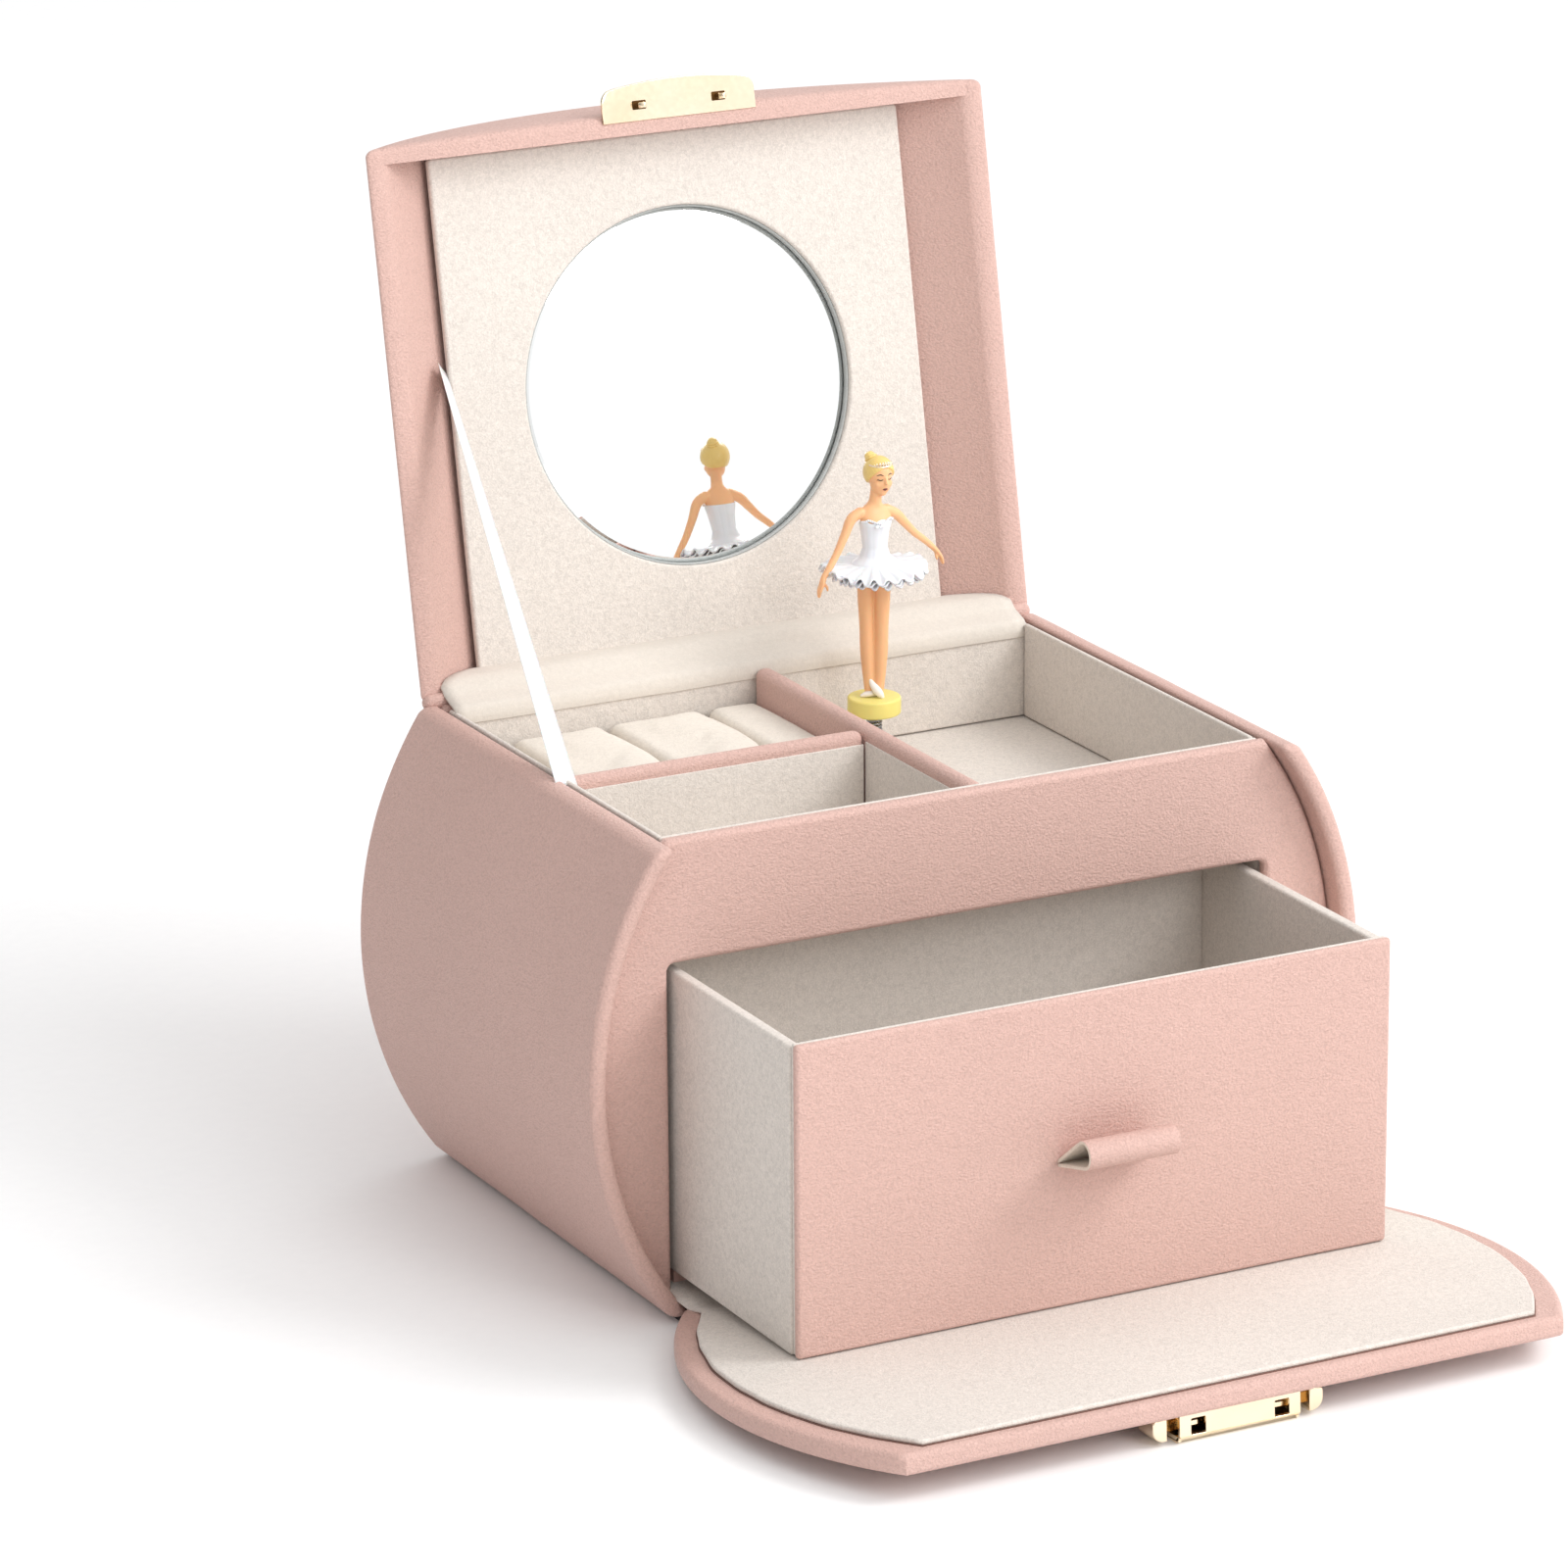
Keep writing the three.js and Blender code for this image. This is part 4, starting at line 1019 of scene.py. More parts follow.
def lid_hinge_cloth():
    """The lining of the tray's back runs on over the rim and up under the lid's inner panel."""
    inner = arch_radius(LID_INNER_HALF, LID_INNER_RISE)
    tray_half = span("tray_liner_rear")[1].x - 0.3

    def half_width(y, z):
        depth = max(0.0, lid_depth(y, z))
        return min(tray_half, math.sqrt(inner ** 2 - (depth + inner - LID_INNER_RISE) ** 2) - 0.5)

    line = [
        (51.45, 101.6), (51.5, 103.2), (52.3, 104.9), (54.4, 105.7), (56.8, 106.6),
        (58.6, 108.0), (60.8, 109.0), (64.0, 109.0), (68.4, 108.2),
    ]
    band, flat, area = cloth_band("lid_hinge_lining", line, half_width, 0.6, CLOTH)
    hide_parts("lid_hinge_cloth")
    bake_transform(band)


def hinge_fold():
    """The leather turns over between the back board and the lid in one soft fold."""
    reach = HALF_TOP - 2.6
    line = []
    for i in range(41):
        x = reach * (i / 20 - 1)
        line.append((x, HALF_DEPTH + 0.1, CASE_TOP + 0.35, 1.75, 1.9))
    fold = rounded_rod(Form(), line, 20, first=Vector((0, 1, 0))).piece("rear_leather_fold", LEATHER)
    finish_piece(fold, "case", "leatherette")


def flap_hinge_cloth():
    """The base's lining runs on across the gap under the flap's own lining."""
    inner_half = bow(5.5, SIDE_BOARD) + 0.4

    def half_width(y, _):
        share = min(1.0, max(0.0, (-57.0 - y) / 8.0))
        return inner_half - 1.6 * share

    line = [(-47.0, 5.4), (-53.0, 5.5), (-58.2, 5.2), (-61.8, 4.6), (-65.2, 5.1), (-68.6, 5.6)]
    band, flat, area = cloth_band("flap_hinge_lining", line, half_width, 0.5, VELVET)
    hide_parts("flap_hinge_cloth")
    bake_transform(band)


RIBBON_WIDTH = 6.0


def lid_ribbon():
    """The stay ribbon runs taut from the tray's left lining to the left edge of the lid's panel.

    It twists a little on its way, from partly facing the front to nearly edge on.
    """
    start = Vector((-72.2, -5.5, 104.0))
    end = Vector((-59.6, 80.0, 174.0))
    along = (end - start).normalized()
    sight = (Vector(CAMERA_PLACE) - (start + end) / 2).normalized()
    flat_on = along.cross(sight).normalized()
    edge_on = flat_on.cross(along).normalized()
    form = Form()
    count = 60
    across = 6
    thin = 0.16
    for face in (-1, 1):
        rows = []
        for i in range(count + 1):
            share = i / count
            twist = math.radians(44 + 34 * share)
            width = flat_on * math.cos(twist) - edge_on * math.sin(twist)
            out = along.cross(width)
            centre = start.lerp(end, share)
            for j in range(across + 1):
                side = 2 * j / across - 1
                cup = 0.12 * (1 - side * side)
                reach = side * (RIBBON_WIDTH - 0.6 * share) / 2
                rows.append(centre + width * reach + out * (face * thin / 2 + cup))
        form.add(rows, grid_faces(count + 1, across + 1))
    line = count * (across + 1)
    second = line + across + 1
    for j in (0, across):
        for a in range(j, line, across + 1):
            form.stitch(a, a + across + 1, second)
    for base in (0, line):
        for j in range(across):
            form.stitch(base + j, base + j + 1, second)
    ribbon = form.piece("lid_stay_ribbon", SATIN)
    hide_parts("lid_ribbon")
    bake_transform(ribbon)


def build_case():
    side_board("left_side_leather", -1, "left_side_board")
    side_board("right_side_leather", 1, "right_side_board")
    front_board()
    back_board()
    tray_liners()
    tray_dividers()
    for index in range(1, 5):
        ring_roll(index)
    lid_hinge_cloth()
    hinge_fold()
    flap_hinge_cloth()
    lid_ribbon()
    dress("base_pad", FELT, 0.3)
    dress("base_board", SMOOTH_LEATHER, 0.6)
    dress("tray_floor", VELVET)
    for side in ("left", "right"):
        dress(f"bay_wall_{side}", VELVET)
        dress(f"drawer_runner_{side}", SMOOTH_LEATHER, 0.2)
    dress("bay_partition", CARD)


# ---------------------------------------------------------------- lid

def lid_roof():
    outer_radius = arch_radius(LID_HALF, LID_RISE)
    along = outer_radius * math.asin(LID_HALF / outer_radius)
    thick = LID_HALF - LID_INNER_HALF - 1.0

    def place(p):
        share = p[0] / along
        far = arch_point(LID_HALF, LID_RISE, share)
        near = arch_point(LID_INNER_HALF, LID_INNER_RISE, share)
        mix = 0.5 + p[2] / thick
        loose = ripple((p[0], p[1], 70), 17, 0.1) if mix > 0.5 else 0.0
        u = near[0] + (far[0] - near[0]) * mix
        v = near[1] + (far[1] - near[1]) * mix
        slant = LID_SLANT * v / LID_RISE * (0.5 - p[1] / LID_LENGTH)
        return (u, -LID_LENGTH / 2 + p[1] - slant, v + loose)

    half = (along, LID_LENGTH / 2, thick / 2)
    form = rounded_block(half, 1.7, (72, 44, 2), place, corner=4)
    roof = form.moved(TO_LID).piece("lid_roof_leather", LEATHER)
    finish_piece(weighted(roof), "lid", "leatherette", "lid_roof")


def lid_end_wall(name, node, face, back, crown, slant=0.0):
    """A wrapped arch of board inside one end of the roof; its outer face is a little padded."""
    steps = 48
    rows = 10
    rim = 0.35
    radius = 1.2
    outwards = 1 if face > back else -1
    half = LID_HALF - 1.7
    rise = LID_RISE - 1.5
    form = Form()

    def station(share, row):
        """A point of the face: share runs from foot to foot, row from the rim to the arch."""
        u, top = arch_point(half, rise, share)
        v = rim + (top - rim) * row if top > rim else rim
        near = min(row, 1 - row) * max(top - rim, 0.0)
        edge = min(1.0, near / radius)
        drop = radius * (1 - math.sqrt(1 - (1 - edge) ** 2))
        fullness = math.sin(math.pi * min(row + 0.25, 1.0)) + 0.45 * (1 - row)
        swell = crown * (1 - share ** 2) * min(1.0, fullness)
        return u, v, swell * min(1.0, near / 3.0 + 0.35) - drop + slant * v / LID_RISE

    rim_rows = [radius * i / 4 / rise for i in range(5)]
    marks = [r * 0.9 for r in rim_rows] + [0.06 + 0.88 * i / rows for i in range(rows + 1)]
    marks += [1 - r * 0.9 for r in reversed(rim_rows)]
    front = []
    rear = []
    for row in marks:
        for i in range(steps + 1):
            share = 2 * i / steps - 1
            u, v, out = station(share * 0.995, row)
            front.append((u, face + outwards * out, v))
            rear.append((u, back, v))
    count = steps + 1
    form.add(front, grid_faces(len(marks), count))
    form.add(rear, grid_faces(len(marks), count))
    second = len(front)
    last = (len(marks) - 1) * count
    border = list(range(count))
    border += [i * count + count - 1 for i in range(1, len(marks))]
    border += list(range(last + count - 2, last - 1, -1))
    border += [i * count for i in range(len(marks) - 2, 0, -1)]
    for a, b in zip(border, border[1:] + border[:1]):
        form.stitch(a, b, second)
    wall = form.moved(TO_LID).piece(name, LEATHER, crisp=60)
    finish_piece(wall, "lid", "leatherette", node)


def lid_panel():
    front = -LID_LENGTH + 3.7
    rear = -3.7
    outline = box_outline(-PANEL_HALF, PANEL_HALF, front, rear, 1.0)
    hole = ring_hole(0.0, -MIRROR_FROM_HINGE, WINDOW_RADIUS, 120)
    high = PANEL_DEPTH + PANEL_THICK
    form = rounded_plate(outline, PANEL_DEPTH, high, 0.7, level, holes=[hole], corner=4)
    panel = form.moved(TO_LID).piece("lid_panel_velvet", VELVET)
    finish_piece(weighted(panel), "lid", "velvet", "lid_inner_panel")
    edge = Form()
    radius = WINDOW_RADIUS - 0.05
    inner = radius - 0.45
    top = high + 0.3
    profile = [(radius, PANEL_DEPTH + 0.9), (inner, PANEL_DEPTH + 1.0), (inner, top), (radius, top)]
    lathe(edge, profile + profile[:1], 120, centre=(0, -MIRROR_FROM_HINGE, 0))
    ring = edge.moved(TO_LID).piece("window_edge", GREY_EDGE)
    finish_piece(ring, "lid", "card")


def lid_mirror():
    low = PANEL_DEPTH + PANEL_THICK + SEAM
    radius = WINDOW_RADIUS + 2.2
    bevel = 1.1
    ring = 20  # a ring of points in the flat of either face
    profile = [
        (0, low), (ring, low), (WINDOW_RADIUS - bevel - 0.5, low), (WINDOW_RADIUS - 0.5, low + 0.3),
        (radius, low + 0.4), (radius, low + 1.5), (ring, low + 1.6), (0, low + 1.6),
    ]
    form = lathe(Form(), profile, 120, centre=(0, -MIRROR_FROM_HINGE, 0))
    glass = form.moved(TO_LID).piece("round_mirror", MIRROR, crisp=10)
    finish_piece(glass, "lid", "mirror", "lid_mirror")


CATCH_HALF = 18.9
HOOK_X = 9.8
HOOK_FROM_HINGE = 124.3


def catch_plate():
    """A thin gold plate on the front wall's rim, with two punched hooks that drop into the clasp."""
    inner = -LID_LENGTH + 0.4
    outer = -LID_LENGTH - 8.4
    corner = 3.2
    shoulder = outer + 1.2 + corner
    edge = []
    for i in range(17):
        t = 2 * i / 16 - 1
        edge.append((t * (CATCH_HALF - corner), outer + 1.2 * t * t))
    right = arc(CATCH_HALF - corner, shoulder, corner, -62, 0, 8)
    left = arc(-CATCH_HALF + corner, shoulder, corner, 180, 242, 8)
    outline = [*left, *edge, *right, (CATCH_HALF, inner), (-CATCH_HALF, inner)]
    form = rounded_plate(outline, 0.0, 0.8, 0.22, level)
    plate = form.moved(TO_LID).piece("catch_plate_gold", GOLD)
    finish_piece(weighted(plate), "lid", "gold", "lid_catch_plate")
    for side, label in ((-1, "left"), (1, "right")):
        knots = [(0.0, 0.5), (0.05, -0.9), (0.0, -1.9), (0.35, -2.7), (1.0, -2.5), (1.4, -1.9)]
        hook = Form()
        line = [
            (side * (HOOK_X - 0.5 + u), -HOOK_FROM_HINGE, v, 0.2, 0.62)
            for _, u, v in spline([(0.0, u, v) for u, v in knots], 5)
        ]
        rounded_rod(hook, line, 16, first=Vector((1, 0, 0.2)))
        # a dark patch round each hook is painted shadow in the punched hole behind it
        punched = box_outline(-1.7, 1.7, -1.0, 1.0, 0.25)
        frame_points = [(side * HOOK_X + u, -HOOK_FROM_HINGE + v) for u, v in punched]
        hook_hole_shadow = rounded_plate(frame_points, -0.06, 0.2, 0.05, level)
        hook.join(hook_hole_shadow, 1)
        made = hook.moved(TO_LID).piece(f"catch_hook_{label}", GOLD, HOLE_SHADOW)
        finish_piece(made, "lid", "gold")


def build_lid():
    lid_roof()
    lid_end_wall("lid_front_leather", "lid_front_wall", -LID_LENGTH, -LID_LENGTH + 3.4, 1.3, LID_SLANT)
    lid_end_wall("lid_rear_leather", "lid_rear_wall", 0.0, -3.4, 0.3)
    lid_panel()
    lid_mirror()
    catch_plate()


# ---------------------------------------------------------------- drawer

TAB_LOW, TAB_HIGH = span("pull_loop")
TAB_SEAM = 40.5
TAB_RADIUS = 2.75
TAB_LEATHER = 0.75


def drawer_front():
    low = DRAWER_LOW
    high = DRAWER_HIGH
    skin = 1.9
    half = ((high.x - low.x) / 2, skin / 2, (high.z - low.z) / 2)
    centre = Vector((0.0, low.y + skin / 2, (low.z + high.z) / 2))

    def place(p):
        loose = ripple((p[0], 5, p[2]), 19, 0.1) if p[1] < 0 else 0.0
        return centre + Vector((p[0], p[1] + loose, p[2]))

    form = rounded_block(half, 0.92, (60, 1, 32), place, corner=4)
    face = form.piece("drawer_front_leather", LEATHER)
    finish_piece(weighted(face), "drawer", "leatherette", "drawer_front")
    lining_low = (low.x + 0.4, low.y + skin - 0.05, low.z + 0.3)
    lining_high = (high.x - 0.4, high.y + 0.15, high.z - 0.15)
    velvet_slab("drawer_front_lining", lining_low, lining_high, radius=0.45, body="drawer")


def pull_loop():
    """A leather tab folded into a teardrop loop, its tip held in the drawer's face."""
    centre = Vector((-(TAB_HIGH.y - TAB_LOW.y) + TAB_RADIUS + TAB_LEATHER / 2, 5.2))
    reach = centre.length
    tangent = math.sqrt(reach ** 2 - TAB_RADIUS ** 2)
    spread = math.degrees(math.asin(TAB_RADIUS / reach))
    aim = math.degrees(math.atan2(centre.y, centre.x))
    seam_low = Vector((0.6, -0.35))
    seam_high = Vector((0.6, 0.45))

    def touching(angle):
        """Where a line from the seam at that angle touches the loop's circle, and the angle there."""
        point = tangent * Vector((math.cos(math.radians(angle)), math.sin(math.radians(angle))))
        return point, math.degrees(math.atan2(point.y - centre.y, point.x - centre.x)) % 360

    lower, first = touching(aim + spread)
    upper, last = touching(aim - spread)
    line = [tuple(seam_low.lerp(lower, i / 6)) for i in range(6)]
    line += arc(centre.x, centre.y, TAB_RADIUS, first, last, 22)
    line += [tuple(upper.lerp(seam_high, i / 6)) for i in range(1, 7)]
    lengths = [0.0]
    for a, b in zip(line, line[1:]):
        lengths.append(lengths[-1] + math.dist(a, b))
    total = lengths[-1]
    width = TAB_HIGH.x - TAB_LOW.x
    middle_x = (TAB_LOW.x + TAB_HIGH.x) / 2
    seam_y = TAB_HIGH.y

    def on_line(distance):
        distance = min(max(distance, 0.0), total)
        i = 0
        while i < len(lengths) - 2 and lengths[i + 1] < distance:
            i += 1
        share = (distance - lengths[i]) / (lengths[i + 1] - lengths[i])
        a = Vector(line[i])
        b = Vector(line[i + 1])
        ahead = (b - a).normalized()
        return a.lerp(b, share), Vector((ahead.y, -ahead.x))

    def place(p):
        spot, out = on_line(p[0] + total / 2)
        spot = spot - out * p[2]
        return (middle_x + p[1], seam_y + spot.x, TAB_SEAM + spot.y)

    def kind(axis, side):
        if axis == 2:
            return 0 if side > 0 else 1
        return 1

    half = (total / 2, width / 2, TAB_LEATHER / 2)
    form = rounded_block(half, 0.22, (60, 12, 1), place, corner=2, kind=kind)
    tab = form.piece("pull_tab_leather", LEATHER, SUEDE)
    finish_piece(tab, "pull_tab", "leatherette", "pull_loop")


def drawer_tray():
    """Two sides and a back of wrapped board over a lined bottom."""
    low, high = span("drawer_walls")
    floor_low, floor_high = span("drawer_bottom")
    wall = 2.8
    base = floor_low.z
    edge = 0.75
    left_high = (low.x + wall, high.y, high.z)
    left = velvet_slab("drawer_side_left", (low.x, low.y, base), left_high, edge, "drawer")
    right_low = (high.x - wall, low.y, base)
    velvet_slab("drawer_side_right", right_low, (high.x, high.y, high.z), edge, "drawer")
    back_low = (low.x + wall - 0.3, high.y - wall, base + 0.2)
    velvet_slab("drawer_rear", back_low, (high.x - wall + 0.3, high.y, high.z - 0.05), edge, "drawer")
    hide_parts("drawer_walls")
    lining_low = (low.x + wall - 0.2, low.y, floor_low.z + 0.2)
    lining_high = (high.x - wall + 0.2, high.y - wall + 0.2, floor_high.z)
    bottom = velvet_slab("drawer_floor", lining_low, lining_high, 0.5, "drawer")
    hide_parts("drawer_bottom")


def build_drawer():
    drawer_front()
    pull_loop()
    drawer_tray()


# ---------------------------------------------------------------- flap and clasp

def flap_outline(start, end, inset, wobble=0.0, spread=0.0):
    """The flap's outline, as wide as the case at each height, from its hinge out to its free edge."""
    right = []
    steps = 56
    for i in range(steps + 1):
        out = start + (end - start) * i / steps
        wider = spread * i / steps
        right.append((bow(out + FLAP_AXIS.z, inset - wider) + ripple((out, 1, 2), 7, wobble), -out))
    return [(-u, v) for u, v in right] + right[::-1]


def flap_board():
    end = FLAP_REACH + 0.5

    def place(p):
        """The wrapped board is a little thicker towards its free edge."""
        return Vector((p[0], p[1], p[2] + (0.85 * p[1] / end if p[2] < 0 else 0.0)))

    outline = flap_outline(-2.2, end, 0.8, spread=1.1)
    form = rounded_plate(outline, -2.1, 1.8, 1.5, place, corner=6)
    board = form.moved(TO_FLAP).piece("flap_leather", LEATHER)
    finish_piece(weighted(board), "flap", "leatherette", "flap_board")
    lining_end = FLAP_REACH - 2.3
    # a thin dark sheet under the lining's edge is painted shadow in the gap beneath the lining
    seam = flap_outline(4.0, lining_end + 0.25, 5.35, wobble=0.35)
    shadow = rounded_plate(seam, 1.6, 2.0, 0.1, level)
    seam_shadow_sheet = shadow.moved(TO_FLAP).piece("flap_lining_seam_shadow", SEAM_SHADOW_PAINT)
    finish_piece(seam_shadow_sheet, "flap", "velvet")
    lining = rounded_plate(flap_outline(4.2, lining_end, 5.6, wobble=0.35), 1.9, 3.1, 0.55, level, corner=4)
    pad = lining.moved(TO_FLAP).piece("flap_lining_velvet", VELVET)
    finish_piece(weighted(pad), "flap", "velvet", "flap_lining")


CLASP_LOW = -8.85
CLASP_HIGH = -1.9
CLASP_FRONT = -101.9
CLASP_BACK = -93.5
CLASP_HALF = 14.2
CLASP_MIDDLE = (CLASP_LOW + CLASP_HIGH) / 2
CLASP_HOLE = 3.4
CLASP_WALL = 0.8
CLASP_TRAVEL = 2.3  # how far a button moves in, and a little to spare
SPRING_HALF = 3.6


def clasp_block(form, low, high, radius=0.2, kind=0):
    return form.join(block_between(low, high, radius, (4, 2, 2), roundest=0.9), kind)


def clasp_housing():
    """A box of gold plate with a chamfered lower edge and two square holes for the lid's hooks."""
    chamfer = 1.5
    holes = []
    half = CLASP_HOLE / 2
    for x in (-HOOK_X, HOOK_X):
        square = box_outline(x - half, x + half, CLASP_MIDDLE - half, CLASP_MIDDLE + half, 0.25, 3)
        holes.append(square[::-1])
    outline = box_outline(-CLASP_HALF, CLASP_HALF, CLASP_LOW + chamfer, CLASP_HIGH, 0.3)
    front = rounded_plate(outline, CLASP_FRONT, CLASP_FRONT + CLASP_WALL, 0.16, upright, holes=holes)
    form = Form().join(front)
    slope = [
        (CLASP_FRONT + 0.02, CLASP_LOW + chamfer),
        (CLASP_FRONT + chamfer, CLASP_LOW + 0.02),
        (CLASP_BACK, CLASP_LOW + 0.02),
        (CLASP_BACK, CLASP_LOW + CLASP_WALL),
        (CLASP_FRONT + chamfer + 0.3, CLASP_LOW + CLASP_WALL),
        (CLASP_FRONT + CLASP_WALL, CLASP_LOW + chamfer + 0.3),
    ]
    under = rounded_plate(slope, -CLASP_HALF, CLASP_HALF, 0.12, sideways)
    form.join(under)
    front_y = CLASP_FRONT + CLASP_WALL
    far_corner = (CLASP_HALF, CLASP_BACK, CLASP_HIGH)
    clasp_block(form, (-CLASP_HALF, CLASP_FRONT + 0.1, CLASP_HIGH - CLASP_WALL), far_corner)
    clasp_block(form, (-CLASP_HALF, CLASP_BACK - 0.9, CLASP_LOW + 0.1), far_corner)
    for side in (-1, 1):
        ends = sorted((side * CLASP_HALF, side * (CLASP_HALF - 0.7)))
        for low, high in ((CLASP_LOW + 0.4, CLASP_MIDDLE - 1.9), (CLASP_MIDDLE + 1.7, CLASP_HIGH)):
            clasp_block(form, (ends[0], front_y - 0.1, low), (ends[1], CLASP_BACK, high), 0.1)
    # the sill seen through the square holes is painted dark: painted shadow inside the housing
    shaded_sill_low = (-CLASP_HALF + 1, front_y + 0.6, CLASP_MIDDLE - 2.2)
    clasp_block(form, shaded_sill_low, (CLASP_HALF - 1, -95.4, CLASP_MIDDLE - 1.9), 0.1, 1)
    housing = form.moved(TO_FLAP).piece("clasp_case_gold", GOLD, HOLE_SHADOW, crisp=50)
    finish_piece(housing, "flap", "gold", "clasp_housing")


def clasp_button(label, side):
    """A push button whose tongue holds a hook; its outer corners are rounded for the finger."""
    inner = CLASP_HALF + CLASP_TRAVEL + 0.2
    outer = inner + 3.3
    low = CLASP_MIDDLE - 2.4
    high = CLASP_MIDDLE + 2.4
    outline = [(inner, low), *arc(outer - 2.6, low + 2.6, 2.6, -90, 0, 10)]
    outline += [*arc(outer - 0.9, high - 0.9, 0.9, 0, 90, 5), (inner, high)]
    cap_front = -101.2
    cap_back = -94.6
    form = rounded_plate(outline, cap_front, cap_back, 0.35, upright, corner=4)
    if side < 0:
        form.points = [Vector((-p.x, p.y, p.z)) for p in form.points]
    tongue = sorted((side * (SPRING_HALF + CLASP_TRAVEL), side * (inner + 0.6)))
    tongue_low = (tongue[0], cap_front + 2.4, CLASP_MIDDLE - 1.3)
    tongue_high = (tongue[1], cap_back - 1.6, CLASP_MIDDLE + 1.3)
    clasp_block(form, tongue_low, tongue_high, 0.3, 1)
    latch = sorted((side * (HOOK_X - 0.9), side * (HOOK_X + 1.3)))
    latch_low = (latch[0], cap_front + 1.0, CLASP_MIDDLE - 0.5)
    clasp_block(form, latch_low, (latch[1], cap_front + 2.6, CLASP_MIDDLE + 0.7), 0.25)
    button = form.moved(TO_FLAP).piece(f"clasp_button_{label}_gold", GOLD, DARK_GOLD, crisp=50)
    finish_piece(button, f"clasp_{label}", "gold", f"clasp_button_{label}")


def build_flap():
    flap_board()
    clasp_housing()
    clasp_button("left", -1)
    clasp_button("right", 1)
    dress("clasp_spring", STEEL)


# ---------------------------------------------------------------- dancer

# Lines of (x, y, z, half width, half depth) in the figure's own frame, from the top of its base
LEG = [
    (1.05, -0.2, 4.6, 1.0, 1.2), (1.2, 0.0, 8.0, 1.3, 1.35), (1.5, 0.15, 14.5, 1.62, 1.75),
    (1.68, 0.0, 20.0, 1.58, 1.65), (1.88, 0.0, 27.0, 1.78, 1.9), (1.9, 0.1, 33.5, 1.95, 2.1),
]
TORSO = [
    (0.3, 0.1, 32.5, 4.4, 3.3),
    (0.3, 0.1, 35.0, 3.8, 2.9),
    (0.3, 0.0, 38.4, 2.6, 2.1),
    (0.3, 0.0, 41.5, 2.95, 2.3),
    (0.4, -0.1, 44.0, 3.5, 2.6),
    (0.4, 0.1, 46.0, 3.6, 2.0),
    (0.35, 0.2, 47.3, 3.1, 1.6),
    (0.4, 0.2, 48.2, 1.9, 1.5),
    (0.5, 0.1, 49.2, 1.4, 1.4),
    (0.8, 0.0, 52.0, 1.35, 1.4),
]
ARMS = (
    [
        (-3.2, 0.2, 46.6, 1.25, 1.25), (-5.5, 0.1, 45.3, 1.2, 1.2), (-7.2, -0.2, 42.0, 1.02, 1.02),
        (-9.3, -0.6, 38.3, 0.88, 0.88), (-11.3, -1.0, 35.4, 0.8, 0.8), (-12.8, -1.2, 33.4, 0.67, 0.76),
        (-13.4, -1.4, 32.0, 0.58, 1.03), (-14.1, -1.5, 30.4, 0.49, 0.95), (-14.2, -1.5, 29.2, 0.38, 0.47),
    ],
    [
        (3.2, 0.2, 46.6, 1.25, 1.25), (5.7, 0.2, 45.2, 1.2, 1.2), (7.8, 0.0, 42.9, 1.02, 1.02),
        (9.9, -0.2, 40.6, 0.88, 0.88), (12.3, -0.4, 38.6, 0.8, 0.8), (14.1, -0.6, 36.9, 0.69, 0.78),
        (15.2, -0.7, 35.7, 0.58, 1.03), (16.2, -0.8, 34.2, 0.49, 0.95), (16.7, -0.8, 32.8, 0.38, 0.47),
    ],
)
THUMBS = (
    [(-13.2, -1.5, 32.2, 0.38), (-12.4, -1.8, 31.2, 0.35), (-12.3, -1.9, 30.4, 0.28)],
    [(15.0, -0.9, 35.9, 0.38), (14.8, -1.2, 34.8, 0.35), (15.0, -1.4, 34.0, 0.28)],
)
TO_HEAD = (
    Matrix.Translation(Vector((1.3, -0.15, 54.5)))
    @ Matrix.Rotation(math.radians(3), 4, "Z")
    @ Matrix.Rotation(math.radians(7), 4, "X")
)
CRANIUM = Vector((3.0, 3.4, 3.25))  # radii
CRANIUM_AT = Vector((0.0, 0.35, 0.9))
BUN_WAY = Vector((-0.25, 0.62, 0.74)).normalized()


def dancer_body():
    """Legs, torso, arms and head as one smooth skin."""
    form = Form()
    legs = Form()
    for side in (-1, 1):
        leg = [(side * x, *others) for x, *others in LEG]
        tube(legs, spline(leg, 6), 24)
    form.join(legs.moved(FEET_TURN))
    tube(form, spline(TORSO, 6), 36)
    for arm in ARMS:
        rounded_rod(form, spline(arm, 6), 20)
    for thumb in THUMBS:
        rounded_rod(form, spline(thumb, 4), 12)
    head = Form()
    ball(head, CRANIUM_AT, CRANIUM, 40)
    ball(head, (0.0, -0.85, -1.1), (2.4, 2.4, 2.9), 36)
    ball(head, (0.0, -1.75, -3.15), (1.05, 1.05, 0.85), 24)
    for side in (-1, 1):
        ball(head, (side * 1.3, -2.0, -1.1), (0.95, 0.9, 0.95), 20)
    nose = [(0, -3.05, 0.7, 0.3, 0.3), (0, -3.45, -0.1, 0.34, 0.34), (0, -3.7, -0.55, 0.42, 0.36)]
    rounded_rod(head, nose, 14)
    form.join(head.moved(TO_HEAD))
    skin = form.moved(TO_FIGURE).piece("dancer_skin", FLESH)
    shrink = skin.modifiers.new("one_skin", "REMESH")
    shrink.mode = "VOXEL"
    shrink.voxel_size = 0.2 * MM
    soft = skin.modifiers.new("soft", "SMOOTH")
    soft.factor = 0.5
    soft.iterations = 5
    baked(skin).data.shade_smooth()
    return skin


